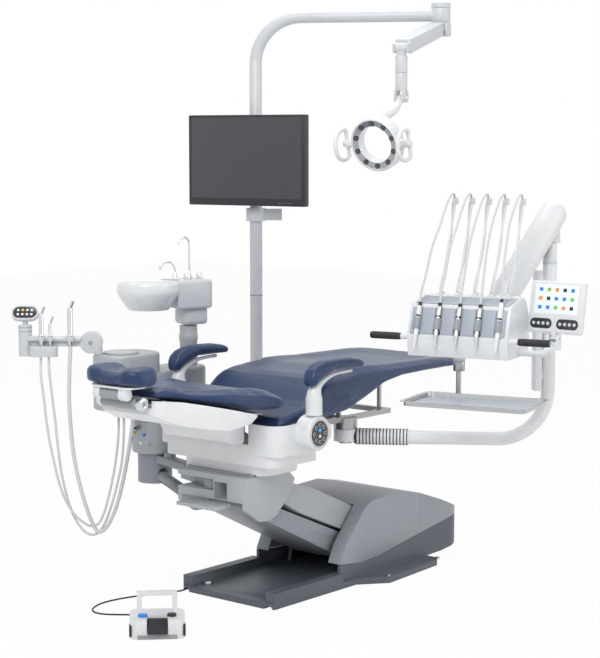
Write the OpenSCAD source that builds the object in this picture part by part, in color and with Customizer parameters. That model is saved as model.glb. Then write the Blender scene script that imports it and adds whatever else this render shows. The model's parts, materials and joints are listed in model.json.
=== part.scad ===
/* [Base] */
// Length of the base plate, head end to foot end
plate_l = 920; // [800:1:1000]
// Width of the base plate between its side rails, outside
plate_w = 434; // [400:1:460]
// Width of the base plate across the foot end's flanges
flange_w = 590; // [520:1:660]
// Thickness of the base plate
plate_t = 22; // [18:1:28]
// Height of the pump housing above the floor
pod_h = 296; // [290:1:320]
// Wall of the pump housing covers
pod_wall = 5; // [3:0.5:8]
/* [Lift] */
// Distance between the lift arm's two pivots
lift_len = 565; // [500:1:680]
// Angle of the lift arm above level, as drawn
lift_angle = 23; // [18:0.5:26]
// Height of the lower pivot above the floor
lift_z = 190; // [180:1:205]
// Width of the lift arm
lift_w = 276; // [240:1:300]
// Diameter of the lift pivot pins
lift_pin_d = 30; // [20:1:34]
/* [Chair] */
// Width of the seat and back cushions
cushion_w = 540; // [480:1:580]
// Thickness of the armrest pads
arm_pad_t = 44; // [30:1:60]
// Diameter of the armrest posts
arm_post_d = 57; // [45:1:70]
// Distance from the centre line to each armrest post
arm_y = 318; // [312:1:345]
// Diameter of the headrest's chrome bars
headrest_bar_d = 14; // [10:1:18]
// Width of the headrest pad
headrest_w = 260; // [230:1:300]
/* [Delivery unit] */
// Reach of the delivery arm from its pivot to its upright
delivery_reach = 725; // [640:1:800]
// Diameter of the delivery arm's tube
delivery_d = 49; // [42:1:56]
// Height of the joint in the upright above the floor
upright_seam_z = 1165; // [1100:1:1220]
// Diameter of the balance arm's cover
balance_d = 98; // [80:1:110]
// Width of the instrument head
head_w = 356; // [330:1:420]
// Length of the instrument tray
tray_l = 450; // [360:1:480]
// Depth of the instrument tray, front to back
tray_d = 268; // [220:1:290]
// Width of the touch panel
panel_w = 204; // [170:1:240]
/* [Lamp and monitor] */
// Diameter of the lamp pole
pole_d = 48; // [40:1:56]
// Height of the boom's centre line above the floor
boom_z = 2064; // [1950:1:2200]
// Reach of the boom from the pole
boom_reach = 707; // [600:1:800]
// Diameter of the lamp's ring, outside
ring_d = 190; // [170:1:220]
// Diameter of the opening in the lamp's ring
ring_bore = 125; // [90:1:140]
// Width of the monitor
monitor_w = 518; // [440:1:560]
// Height of the monitor
monitor_h = 344; // [280:1:360]
/* [Water unit] */
// Reach of the water unit's swing arm
unit_reach = 443; // [430:1:480]
// Diameter of the water unit's round foot
unit_foot_d = 170; // [150:1:190]
// Diameter of the cuspidor's post
cuspidor_post_d = 66; // [56:1:80]
// Diameter of the cuspidor's bowl, outside
bowl_d = 232; // [200:1:250]
/* [Foot control] */
// Width of the foot control
foot_w = 178; // [150:1:200]
// Length of the foot control's body
foot_l = 150; // [130:1:170]
/* [Hidden] */
$fn = 48;

// Colours of the finishes
white_paint = "whitesmoke";
grey_cover = [0.62, 0.64, 0.67];
dark_base = [0.36, 0.39, 0.42];
navy = [0.07, 0.17, 0.35];
rubber_dark = [0.16, 0.18, 0.21];
chrome = [0.8, 0.81, 0.83];
steel = [0.62, 0.62, 0.63];

// Clearances
run = 0.05;      // radial clearance of a pin in its bore
gap = 1;         // gap between rigid pieces that move past each other
soft_gap = 1.5;  // gap round soft pieces

// Lift: lower pivots on the base, upper pivots on the carrier
lower = [145, 0, lift_z];
upper = [lower.x - lift_len * cos(lift_angle), 0, lower.z + lift_len * sin(lift_angle)];
link_drop = [-12, 0, -78];
pin_r = lift_pin_d / 2;
cheek_in = lift_w / 2 + 5;
cheek_t = 15;
carrier_w = 2 * (cheek_in + cheek_t);

// Chair datums, all from the carrier's pivot
function up(p) = [p.x + upper.x + 375, p.y, p.z + upper.z - 410];
half = cushion_w / 2;
recline_pivot = up([-405, 0, 705]);

// Delivery unit datums
swing = up([40, -142, 560]);
reach_dir = [0.552, -0.834, 0];
reach_yaw = -56.5;
riser = [swing.x + delivery_reach * reach_dir.x, swing.y + delivery_reach * reach_dir.y, 0];
tube_z = swing.z - 27;
bend_r = 180;
balance_top = [riser.x + 14, riser.y, upright_seam_z + 172];
head_yaw = 14;
balance_yaw = -13;
balance_drop = 310;
balance_run = 262;
balance_low = [balance_top.x - balance_run * cos(balance_yaw),
  balance_top.y - balance_run * sin(balance_yaw), balance_top.z - balance_drop];
head = [balance_low.x - 151, balance_low.y + 1, balance_low.z - 150];
head_half = head_w / 2;
whip_pitch = 62;
holder_pitch = 72;
whip_base = [26, 0, 206];
whip_tip = [155, 0, 512];

// Lamp and monitor datums
pole = up([203, 430, 0]);
pole_r = pole_d / 2;
boom_bend_r = 175;
boom_yaw = -59.7;
boom_end = [pole.x + boom_reach * cos(boom_yaw), pole.y + boom_reach * sin(boom_yaw), boom_z];
spring_yaw = 202.5;
spring_run = 596;
spring_drop = 150;
spring_pitch = atan(spring_drop / spring_run);
spring_len = norm([spring_run, spring_drop]);
lamp_top = [boom_end.x + spring_run * cos(spring_yaw), boom_end.y + spring_run * sin(spring_yaw),
  boom_end.z - spring_drop];
lamp_centre = [lamp_top.x - 121, lamp_top.y + 9, lamp_top.z - 325];
lamp_yaw = 6;
lamp_pitch = -16;
monitor_at = [pole.x - 66, pole.y - 21, 1523];
monitor_yaw = 10;

// Water unit datums
unit_pivot = up([-475, 30, 405]);
unit_yaw = 72;
unit_axis = [unit_pivot.x + unit_reach * cos(unit_yaw), unit_pivot.y + unit_reach * sin(unit_yaw), 0];
unit_floor = unit_pivot.z + 58;
cuspidor = [unit_axis.x + 177, unit_axis.y - 5, 0];
bowl_yaw = -18;
bowl_z = unit_floor + 455;
unit_top = unit_floor + 376;
assist_pivot = [unit_axis.x - 244, unit_axis.y + 37, unit_top];
assist_yaw = 128.8;
assist_reach = 260;
function assist_at(x, y, z) = assist_pivot + [x * cos(assist_yaw) - y * sin(assist_yaw),
  x * sin(assist_yaw) + y * cos(assist_yaw), z];

// Foot control datums
foot = [-905, -115, 0];
foot_yaw = 45;

// Routes of the hoses and the foot control's cable
foot_plug = [foot_l / 2 + 20, 40, 16];
function foot_at(x, y, z) = foot + [x * cos(foot_yaw) - y * sin(foot_yaw),
  x * sin(foot_yaw) + y * cos(foot_yaw), z];
socket = [-415, plate_w / 2 - 24, 8];
cable_d = 6;
cable_route = [foot_at(foot_plug.x + 0.2, foot_plug.y, foot_plug.z), foot_at(foot_plug.x + 14, foot_plug.y, 15.5),
  [-838, 10, 10], [-819, 33, 5], [-806, 60, 3.2], [-801, 88, 3.2], [-808, 118, 3.2], [-834, 152, 3.2],
  [-856, 188, 3.2], [-860, 226, 3.2], [-838, 262, 3.2], [-790, 288, 3.2], [-730, 296, 3.2],
  [-660, 284, 3.2], [-600, 262, 3.2], [-545, 238, 3.2], [-500, 214, 3.4], [-466, 198, 5],
  [-436, socket.y, socket.z], socket];
hose_d = 9;
suction_d = 15;
unit_belly = unit_floor + 176;
hose_low = -4;
assist_routes = [
  concat([assist_at(200, 34, hose_low), assist_at(200, 34, hose_low - 12)],
    [[-750, 606, 773], [-750, 592, 685], [-750, 582, 618], [-748, 571, 550], [-742, 558, 482], [-734, 539, 396],
    [-721, 521, 332], [-703, 502, 286], [-681, 481, 253], [-658, 463, 235], [-632, 447, 240], [-610, 438, 280],
    [-588, 434, 345], [-564, 434, 421], [-542, 437, 514], [-526, 447, 580], [-516, 458, unit_belly - 12],
    [-516, 458, unit_belly]]),
  concat([assist_at(172, 34, hose_low), assist_at(172, 34, hose_low - 12)],
    [[-723, 591, 773], [-722, 578, 683], [-722, 567, 616], [-722, 553, 512], [-713, 549, 431], [-705, 533, 349],
    [-693, 512, 276], [-676, 489, 227], [-656, 468, 203], [-634, 451, 205], [-612, 436, 238], [-592, 420, 304],
    [-568, 412, 384], [-546, 410, 468], [-526, 420, 580], [-520, 430, unit_belly - 12],
    [-520, 430, unit_belly]]),
  concat([assist_at(94, 37, 38), assist_at(94, 37, 24)],
    [[-690, 523, 785], [-698, 518, 686], [-700, 508, 574], [-697, 498, 483], [-690, 480, 392], [-680, 460, 314],
    [-666, 442, 250], [-648, 428, 216], [-622, 414, 232], [-590, 402, 292], [-560, 396, 380],
    [-528, 396, 491], [-502, 402, 579], [-490, 408, unit_belly - 15], [-490, 408, unit_belly]])];

// A closed outline in X and Z, drawn through Y from y0 to y1
module xz(y0, y1) {
  translate([0, y1, 0])
    rotate([90, 0, 0])
      linear_extrude(y1 - y0)
        children();
}

// A rounded rectangle centred on the origin
module rounded(l, w, r) {
  square([l - 2 * r, w], center = true);
  square([l, w - 2 * r], center = true);
  for (x = [-1, 1], y = [-1, 1])
    translate([x * (l / 2 - r), y * (w / 2 - r)])
      circle(r);
}

// A round bar between two points
module bar(a, b, r1, r2 = 0) {
  v = b - a;
  h = norm(v);
  translate(a)
    rotate([0, acos(v.z / h), atan2(v.y, v.x)])
      cylinder(h = h, r1 = r1, r2 = r2 > 0 ? r2 : r1);
}

// A cylinder along Y, centred on y = 0
module along_y(p, r, w) {
  translate(p)
    rotate([90, 0, 0])
      cylinder(h = w, r = r, center = true);
}

// A quarter bend in the X-Z plane, from level to upright, starting at the origin towards +X
module quarter(bend, r) {
  translate([0, 0, bend])
    rotate([90, 0, 0])
      rotate([0, 0, -90])
        rotate_extrude(angle = 90)
          translate([bend, 0])
            circle(r);
}

function unit_of(v) = v / norm(v);
function lerp(a, b, t) = a + (b - a) * t;
function spline(p0, p1, p2, p3, t) = 0.5 * (2 * p1 + (p2 - p0) * t
  + (2 * p0 - 5 * p1 + 4 * p2 - p3) * t * t + (3 * p1 - p0 - 3 * p2 + p3) * t * t * t);
function smooth_route(r, steps) = [for (i = [0:len(r) - 2], s = [0:steps - 1])
  spline(r[max(i - 1, 0)], r[i], r[i + 1], r[min(i + 2, len(r) - 1)], s / steps), r[len(r) - 1]];
function tangent(r, i) = unit_of(r[min(i + 1, len(r) - 1)] - r[max(i - 1, 0)]);
function side_of(t) = unit_of(cross(t, abs(t.z) < 0.95 ? [0, 0, 1] : [0, 1, 0]));
function carried(r, i) = i == 0 ? side_of(tangent(r, 0))
  : let (n = carried(r, i - 1), t = tangent(r, i)) unit_of(n - t * (n * t));
function ring(r, i, rad, sides) = let (t = tangent(r, i), n = carried(r, i), b = cross(t, n))
  [for (k = [0:sides - 1]) r[i] + rad * (cos(360 * k / sides) * n + sin(360 * k / sides) * b)];

// A round tube swept along a route of points
module swept(route, d, sides, steps = 1) {
  r = smooth_route(route, steps);
  count = len(r);
  points = [for (i = [0:count - 1]) each ring(r, i, d / 2, sides)];
  walls = [for (i = [0:count - 2], k = [0:sides - 1])
    let (m = (k + 1) % sides)
    [i * sides + k, (i + 1) * sides + k, (i + 1) * sides + m, i * sides + m]];
  ends = [[for (k = [0:sides - 1]) k],
    [for (k = [0:sides - 1]) (count - 1) * sides + sides - 1 - k]];
  polyhedron(points, concat(walls, ends), convexity = 8);
}

// ---------------------------------------------------------------- base
plate_x = [-450, -450 + plate_l];
rail_y = plate_w / 2;
pod_half = 200;
pod_x = [-60, 720];
parting = [[-60, 84], [60, 70], [175, 77], [425, 117], [669, 154], [720, 162]];
skirt_low = [[-60, 21], [470, 21], [560, 24], [640, 32], [720, 48]];
pod_top = [[-60, 86], [-27, 151], [43, 225], [84, 270], [130, pod_h - 6], [296, pod_h], [423, 272],
  [560, 226], [650, 190], [700, 176], [720, 164]];
arm_slot = lift_w / 2 + 6;
pod_seam_x = 424;
pod_r = 100;
skirt_t = 12;
bolt_at = [380, 150];
bolt_r = 7;

module plate_outline() {
  polygon([[plate_x[0] + 14, -rail_y], [12, -rail_y], [112, -flange_w / 2], [plate_x[1] - 30, -flange_w / 2 + 25],
    [plate_x[1], -flange_w / 2 + 60], [plate_x[1], flange_w / 2 - 60], [plate_x[1] - 30, flange_w / 2 - 25],
    [112, flange_w / 2], [12, rail_y], [plate_x[0] + 14, rail_y], [plate_x[0], rail_y - 14],
    [plate_x[0], -rail_y + 14]]);
}

module pod_plan(inset) {
  // plan of the pump housing, rounded at the foot end
  far = pod_x[1] - pod_r;
  translate([pod_x[0] + inset, -pod_half + inset])
    square([far - pod_x[0] - inset, 2 * (pod_half - inset)]);
  translate([far - 1, -pod_half + pod_r])
    square([pod_r + 1 - inset, 2 * (pod_half - pod_r)]);
  for (s = [-1, 1])
    translate([far, s * (pod_half - pod_r)])
      circle(pod_r - inset);
}

module skirt_solid(inset, lift) {
  intersection() {
    linear_extrude(400)
      pod_plan(inset);
    xz(-pod_half, pod_half)
      polygon(concat([for (p = skirt_low) [p.x, p.y + lift]],
        [for (i = [len(parting) - 1:-1:0]) [parting[i].x, parting[i].y - gap + lift]]));
  }
}

module base_plate() {
  color(dark_base)
    difference() {
      union() {
        linear_extrude(plate_t)
          plate_outline();
        for (s = [-1, 1])
          translate([plate_x[0] + 14, s * (rail_y - 21) - 21, plate_t - 1])
            cube([pod_x[0] - plate_x[0] - 14, 42, 34]);
        difference() {
          skirt_solid(0, 0);
          skirt_solid(skirt_t, 7);
          translate([pod_x[0] - 1, -pod_half + skirt_t, 0])
            cube([plate_x[1] - pod_x[0] + 3, 2 * (pod_half - skirt_t), 400]);
        }
      }
      for (x = [-1, 1], y = [-1, 1])
        translate([x * bolt_at.x, y * bolt_at.y, -1])
          cylinder(h = plate_t + 80, r = bolt_r);
      for (s = [-1, 1])
        difference() {
          translate([plate_x[0] - 1, s * socket.y, -1])
            rotate([0, 90, 0])
              cylinder(h = 60, r = 17);
          if (s > 0)
            translate([socket.x, socket.y - 9, 1])
              cube([60, 18, 30]);
        }
    }
}

module pod_solid(shrink) {
  intersection() {
    xz(-pod_half + shrink, pod_half - shrink)
      polygon(concat([for (p = pod_top) [min(max(p.x, pod_x[0] + shrink), pod_x[1] - shrink), p.y - shrink]],
        [for (i = [len(parting) - 1:-1:0])
          [min(max(parting[i].x, pod_x[0] + shrink), pod_x[1] - shrink), parting[i].y - (shrink > 0 ? 30 : 0)]]));
    linear_extrude(400)
      pod_plan(shrink);
  }
}

module pod_shell() {
  difference() {
    pod_solid(0);
    pod_solid(pod_wall);
    translate([-100, -arm_slot, 0])
      cube([100 + 94, 2 * arm_slot, 400]);
  }
}

module base_cover_front() {
  color(grey_cover)
    intersection() {
      pod_shell();
      translate([-100, -300, 0])
        cube([100 + pod_seam_x, 600, 400]);
    }
}

module base_cover_rear() {
  color(grey_cover)
    difference() {
      pod_shell();
      translate([-100, -300, 0])
        cube([100 + pod_seam_x + 0.5, 600, 400]);
    }
}

cylinder_foot = [430, 0, 90];
lever = [lower.x + 35, 0, lower.z + 55];

module base_frame() {
  color(steel) {
    for (s = [-1, 1])
      xz(s > 0 ? cheek_in : -cheek_in - cheek_t, s > 0 ? cheek_in + cheek_t : -cheek_in)
        polygon([[70, plate_t], [230, plate_t], [190, lower.z + 34], [110, lower.z + 34]]);
    along_y(lower, pin_r, 2 * cheek_in + 2 * cheek_t);
    along_y(lower + link_drop, pin_r, 2 * cheek_in + 2 * cheek_t);
    for (s = [-1, 1])
      xz(s > 0 ? 30 : -40, s > 0 ? 40 : -30)
        polygon([[390, plate_t], [466, plate_t], [450, 112], [410, 112]]);
    along_y(cylinder_foot, 9, 70);
  }
}

module pump_unit() {
  color("dimgray") {
    translate([300, 50, plate_t])
      cube([160, 84, 70]);
    translate([345, 92, plate_t + 70])
      cylinder(h = 95, r = 40);
    translate([300, -134, plate_t])
      cube([160, 84, 60]);
  }
}

// ---------------------------------------------------------------- lift
ram_dir = unit_of(lever - cylinder_foot);
ram_len = norm(lever - cylinder_foot);
ram_play = 1.6; // play of the rod's eye round the lever's pin

module on_ram() {
  translate(cylinder_foot)
    rotate([0, acos(ram_dir.z), atan2(ram_dir.y, ram_dir.x)])
      children();
}

module lift_cylinder() {
  color("gray")
    on_ram()
      difference() {
        union() {
          translate([0, 0, 26])
            cylinder(h = 168, r = 27);
          rotate([90, 0, 0])
            cylinder(h = 56, r = 22, center = true);
          translate([-14, -20, 0])
            cube([28, 40, 30]);
        }
        translate([0, 0, 40])
          cylinder(h = 200, r = 11 + run);
        rotate([90, 0, 0])
          cylinder(h = 80, r = 9 + run, center = true);
      }
}

module lift_rod() {
  color(chrome)
    on_ram()
      difference() {
        union() {
          translate([0, 0, 60])
            cylinder(h = ram_len - 60, r = 11);
          translate([0, 0, ram_len])
            rotate([90, 0, 0])
              cylinder(h = 20, r = 20, center = true);
        }
        translate([0, 0, ram_len])
          rotate([90, 0, 0])
            cylinder(h = 40, r = 9 + ram_play, center = true);
      }
}

module lift_profile() {
  // local frame: x along the arm from the lower pivot to the upper one
  polygon([[-20, -44], [-40, -20], [-44, 0], [-40, 22], [-20, 46], [lift_len - 220, 54], [lift_len - 120, 42],
    [lift_len - 60, 27], [lift_len, 26], [lift_len + 20, 17], [lift_len + 26, 0], [lift_len + 20, -17],
    [lift_len, -26], [lift_len - 60, -30], [lift_len - 200, -46]]);
}

module lift_arm() {
  color(grey_cover) {
    difference() {
      union() {
        translate(lower)
          rotate([0, 180 + lift_angle, 0])
            mirror([0, 0, 1])
              xz(-lift_w / 2, lift_w / 2)
                lift_profile();
        for (s = [-1, 1])
          xz(s > 0 ? 12 : -24, s > 0 ? 24 : -12)
            polygon([[lower.x - 20, lower.z + 20], [lower.x + 30, lower.z], [lever.x + 16, lever.z - 4],
              [lever.x + 10, lever.z + 15], [lever.x - 8, lever.z + 15]]);
      }
      along_y(lower, pin_r + run, 400);
      along_y(upper, pin_r + run, 400);
      translate([lever.x - 34, -12, lower.z + 8])
        cube([80, 24, 90]);
    }
    along_y(lever, 9, 47);
  }
}

module parallel_link() {
  color([0.5, 0.52, 0.55])
    difference() {
      translate(lower + link_drop)
        rotate([0, 180 + lift_angle, 0])
          mirror([0, 0, 1])
            xz(-lift_w / 2 + 13, lift_w / 2 - 13)
              polygon([[-20, -10], [-21, 10], [-8, 19], [20, 21], [lift_len, 21], [lift_len + 18, 10], [lift_len + 18, -12],
                [lift_len, -30], [lift_len - 40, -38], [40, -66], [10, -62]]);
      along_y(lower + link_drop, pin_r + run, 400);
      along_y(upper + link_drop, pin_r + run, 400);
    }
}

// ---------------------------------------------------------------- carrier and seat
module carrier() {
  color(grey_cover) {
    difference() {
      union() {
        for (s = [-1, 1])
          xz(s > 0 ? cheek_in : -cheek_in - cheek_t, s > 0 ? cheek_in + cheek_t : -cheek_in)
            polygon([up([-520, 0, 447]), up([-285, 0, 447]), up([-262, 0, 425]), up([-290, 0, 372]),
              up([-360, 0, 308]), up([-400, 0, 296]), up([-450, 0, 300]), up([-520, 0, 350])]
              * [[1, 0], [0, 0], [0, 1]]);
        translate(up([-520, -cheek_in - cheek_t, 446.5]))
          cube([235, carrier_w, 12]);
        translate(up([-520, -cheek_in - 1, 372]))
          cube([105, 2 * cheek_in + 2, 75]);
        translate(up([-600, -90, 352]))
          cube([82, 180, 12]);
      }
      // pocket that the water unit's arm swings in
      translate([unit_pivot.x - 60, -9, unit_pivot.z - 5])
        cube([130, 200, 40]);
      translate(up([-560, -72, 374]))
        cube([110, 60, 60]);
    }
    along_y(upper, pin_r, carrier_w);
    along_y(upper + link_drop, pin_r, carrier_w);
    translate([unit_pivot.x, unit_pivot.y, unit_pivot.z - 12])
      cylinder(h = 55, r = 12);
  }
}

track_r = 120;       // radius of the recline track about the recline pivot
track_half = 6;      // half its radial thickness
track_y = [98, 110]; // where it stands on each side
shell_half = 282;
bracket_z = 563;

module ring_sector(r0, r1, from, to, y0, y1) {
  translate([recline_pivot.x, y1, recline_pivot.z])
    rotate([90, 0, 0])
      rotate([0, 0, from])
        rotate_extrude(angle = to - from)
          translate([r0, 0])
            square([r1 - r0, y1 - y0]);
}

module both_sides() {
  children();
  mirror([0, 1, 0])
    children();
}

module seat_frame() {
  f = up([0, 0, 0]);
  color(steel) {
    translate(f) {
      translate([-490, -150, 458.5])
        cube([240, 300, 7.5]);
      both_sides() {
        translate([-455, 150, 458.5])
          cube([205, 8, 150]);
        translate([-250, 140, 590])
          cube([540, 20, 18]);
        xz(112, 118)
          polygon([[-472, 466], [-472, 556], [-488, 577], [-514, 600], [-518, 636], [-492, 654], [-477, 640], [-477, 612],
            [-445, 590], [-445, 466]]);
      }
      for (x = [-250, 20, 270])
        translate([x, -150, 590])
          cube([20, 300, 18]);
      // posts that carry the seat pan
      for (x = [-235, 30])
        for (y = [-120, 108])
          translate([x, y, 600])
            cube([12, 12, x < 0 ? 14 : 55]);
      for (y = [-120, 108])
        translate([272, y, 600])
          cube([12, 12, 118]);
      xz(-135, 135)
        polygon([[-250, 606], [-218, 606], [-67, 624], [25, 658], [137, 706], [239, 724], [395, 728], [500, 732],
          [500, 740], [395, 736], [239, 732], [137, 714], [25, 666], [-67, 631], [-218, 613.5], [-250, 613.5]]);
      // bracket and pin of the delivery arm
      translate([10, -168, bracket_z])
        cube([60, 40, 27]);
      translate([40, -142, bracket_z])
        cylinder(h = 40, r = 44);
      translate([40, -142, 516])
        cylinder(h = 60, r = 16);
      translate([40, -142, 509])
        cylinder(h = 8, r = 24);
    }
    // shoes that the recline track runs through
    both_sides()
      for (r = [track_r - track_half - 10.3, track_r + track_half + 0.3])
        ring_sector(r, r + 10, 214, 228, 98, 113);
  }
}

module seat_block(inset) {
  f = up([0, 0, 0]);
  w = 2 * (shell_half - inset);
  translate([f.x, 0, f.z]) {
    translate([-363 + inset / 2, 0, 540 + inset])
      linear_extrude(106)
        rounded(274 - inset, w, 50);
    translate([-363 + inset / 2, 0, 500 + inset])
      linear_extrude(46)
        rounded(262 - inset, w - 50, 40);
    translate([-366 + inset / 2, 0, 462 + inset])
      linear_extrude(44)
        rounded(225 - inset, w - 170, 70);
  }
}

module seat_shell() {
  f = up([0, 0, 0]);
  color(white_paint)
    difference() {
      seat_block(0);
      seat_block(4);
      translate([f.x - 530, -153, f.z + 574])
        cube([60, 306, 200]);
      translate([f.x - 266, -shell_half - 10, f.z + 400])
        cube([64, 2 * shell_half + 20, 400]);
      translate([f.x - 496, -160, f.z + 458])
        cube([250, 320, 9]);
    }
}

module cushion_end(x, r) {
  // plan of a cushion that narrows to a rounded toe
  translate([-500, -half])
    square([x + 500, 2 * half]);
  translate([x, -half + r])
    square([r, 2 * half - 2 * r]);
  for (s = [-1, 1])
    translate([x, s * (half - r)])
      circle(r);
}

module seat_cushion() {
  f = up([0, 0, 0]);
  color(navy)
    translate(f)
      intersection() {
        xz(-half, half)
          polygon([[-472, 634], [-472, 660], [-400, 672], [-300, 690], [-230, 760], [-100, 785], [0, 797], [190, 784],
            [504, 779], [625, 775], [640, 765], [636, 748], [620, 742], [395, 742], [239, 738], [137, 720],
            [25, 672], [-67, 638], [-218, 620], [-300, 634]]);
        translate([0, 0, 500])
          linear_extrude(400)
            cushion_end(560, 82);
      }
}

hub_z = 614;
hub_r = 60;
post_r = arm_post_d / 2;
arm_x = -351;

module armrest_hubs() {
  f = up([0, 0, 0]);
  color(white_paint)
    translate(f)
      both_sides()
        difference() {
          union() {
            translate([arm_x, shell_half + 62, hub_z])
              rotate([90, 0, 0])
                cylinder(h = 62, r = hub_r);
            translate([arm_x - 40, shell_half, hub_z - 34])
              cube([130, 46, 60]);
          }
          translate([arm_x, arm_y, hub_z + 8])
            cylinder(h = 80, r = 14 + run);
        }
}

module armrest_post() {
  f = up([0, 0, 0]);
  color(white_paint)
    translate(f) {
      translate([arm_x, arm_y, hub_z + 10])
        cylinder(h = 60, r = 14);
      translate([arm_x, arm_y, hub_z + hub_r + gap])
        cylinder(h = 92, r = post_r);
      xz(arm_y - 20, arm_y + 20)
        polygon([[arm_x - 26, 750], [arm_x + 24, 750], [-318, 776], [-262, 805], [-100, 803], [-100, 813], [-262, 815],
          [-330, 786], [-366, 768], [arm_x - 26, 768]]);
    }
}

module armrest_pad() {
  f = up([0, 0, 0]);
  color(navy)
    translate(f)
      xz(arm_y - 30, arm_y + 30)
        polygon([[-390, 770], [-384, 812], [-360, 842], [-312, 858], [-176, 858], [-108, 842], [-95, 828],
          [-99, 815], [-262, 817], [-330, 788], [-366, 770]]);
}

module armrest_post_left() {
  armrest_post();
}

module armrest_pad_left() {
  armrest_pad();
}

module armrest_post_right() {
  mirror([0, 1, 0])
    armrest_post();
}

module armrest_pad_right() {
  mirror([0, 1, 0])
    armrest_pad();
}

// ---------------------------------------------------------------- back and headrest
back_low = [[-915, 771], [-893, 768], [-824, 760], [-773, 749], [-697, 731], [-573, 700], [-440, 690]];
back_top = [[-409, 736], [-517, 771], [-654, 782], [-754, 783], [-804, 787], [-841, 800], [-915, 806]];
// half-width of the back along its length
back_edge = [[-915, 124], [-880, 135], [-841, 150], [-804, 175], [-754, 215], [-704, 240], [-654, 256],
  [-585, 264], [-517, 265], [-440, 262], [-400, 255]];
back_end = -915;
slide_z = 751;
slide_y = 93;
pivot_low = [-940, 0, 757];
pivot_high = [-985, 0, 789];
bar_r = headrest_bar_d / 2;

module back_plan(inset) {
  k = (half - 5) / 265;
  linear_extrude(1000)
    polygon(concat([for (p = back_edge) [max(p.x, back_end + inset), p.y * k - inset]],
      [for (i = [len(back_edge) - 1:-1:0]) [max(back_edge[i].x, back_end + inset), inset - back_edge[i].y * k]]));
}

module back_cushion() {
  color(navy)
    translate(up([0, 0, 0]))
      intersection() {
        xz(-half, half)
          polygon(concat(back_low, back_top));
        back_plan(0);
      }
}

module back_frame() {
  f = up([0, 0, 0]);
  color(steel) {
    translate(f) {
      difference() {
        intersection() {
          xz(-200, 200)
            polygon([[-860, 752], [-824, 748], [-773, 737], [-697, 719], [-573, 687], [-480, 680], [-480, 686],
              [-573, 694], [-697, 726], [-773, 744], [-824, 755], [-860, 759]]);
          back_plan(20);
        }
        // room for the headrest's bars
        both_sides()
          translate([-880, slide_y - 10, slide_z - 20])
            cube([62, 20, 40]);
      }
      both_sides()
        xz(97, 111)
          polygon([[-640, 704], [-560, 686], [-506, 681], [-506, 660], [-520, 655], [-532, 661], [-580, 670],
            [-640, 685]]);
      // guides of the headrest's bars
      both_sides()
        difference() {
          translate([-908, slide_y - 15, slide_z - 17])
            cube([58, 30, 27]);
          translate([-940, slide_y, slide_z])
            rotate([0, 90, 0])
              cylinder(h = 120, r = bar_r + run);
        }
      translate([-880, 10 - slide_y, slide_z - 14])
        cube([24, 2 * slide_y - 20, 20]);
    }
    both_sides()
      ring_sector(track_r - track_half, track_r + track_half, 200, 292, 98, 110);
  }
}

module back_shell() {
  f = up([0, 0, 0]);
  color(white_paint)
    difference() {
      translate(f)
        difference() {
          union() {
            intersection() {
              xz(-half + 8, half - 8)
                polygon([[back_end, 719], [-876, 700], [-817, 676], [-750, 663], [-691, 655], [-602, 670],
                  [-575, 690], [-575, 696], [-697, 727.5], [-773, 745.5], [-824, 756.5], [-893, 764.5],
                  [back_end, 767]]);
              back_plan(3);
            }
            xz(-146, 146)
              polygon([[-590, 686], [-640, 668], [-612, 616], [-588, 590], [-556, 582], [-516, 582], [-512, 604],
                [-512, 640], [-530, 676], [-560, 692]]);
          }
          intersection() {
            xz(-half + 12, half - 12)
              polygon([[back_end, 724], [-874, 704], [-816, 680], [-750, 667], [-693, 659], [-606, 674],
                [-586, 692], [-586, 720], [-697, 780], [back_end, 800]]);
            back_plan(7);
          }
          xz(-142, 142)
            polygon([[-590, 700], [-636, 668], [-609, 618], [-586, 594], [-555, 586], [-524, 586], [-516, 604],
              [-516, 640], [-534, 700]]);
          translate([back_end - 10, -slide_y - 12, slide_z - 9])
            cube([20, 2 * slide_y + 24, 40]);
        }
      both_sides()
        translate([recline_pivot.x, 124, recline_pivot.z])
          rotate([90, 0, 0])
            cylinder(h = 32, r = 158);
      // room for the frame's plate and brackets
      translate(f) {
        translate([-592, -204, 682])
          cube([56, 408, 44]);
        both_sides()
          xz(94, 114)
            polygon([[-608, 674], [-580, 668], [-532, 658], [-520, 652], [-503, 656], [-503, 685], [-560, 690],
              [-608, 700]]);
      }
    }
}

module headrest_slide() {
  color(chrome)
    translate(up([0, 0, 0]))
      both_sides() {
        translate([pivot_low.x + 10, slide_y, slide_z])
          rotate([0, 90, 0])
            cylinder(h = 96, r = bar_r);
        translate([pivot_low.x, 90, pivot_low.z])
          rotate([90, 0, 0])
            difference() {
              cylinder(h = 20, r = 21, center = true);
              cylinder(h = 40, r = 8 + run, center = true);
            }
      }
}

module headrest_link() {
  color("dimgray")
    translate(up([0, 0, 0]))
      difference() {
        union() {
          along_y(pivot_low, 20, 156);
          along_y(pivot_low, 8, 200);
          xz(-36, 36)
            polygon([[-952, 774], [-926, 771], [-973, 803], [-998, 777]]);
          along_y(pivot_high, 18, 80);
        }
        along_y(pivot_high, 7 + run, 100);
      }
}

pad_l = 150;
pad_x = -942;

module headrest_shell() {
  color(white_paint)
    translate(up([0, 0, 0])) {
      along_y(pivot_high, 7, 144);
      both_sides() {
        translate([pivot_high.x, 72, pivot_high.z])
          rotate([90, 0, 0])
            cylinder(h = 29, r = 19);
        translate([pivot_high.x - 16, 43, pivot_high.z])
          cube([32, 29, 24]);
      }
      translate([pad_x - 12, 0, 809])
        linear_extrude(6)
          rounded(pad_l - 44, headrest_w - 60, 46);
    }
}

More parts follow.
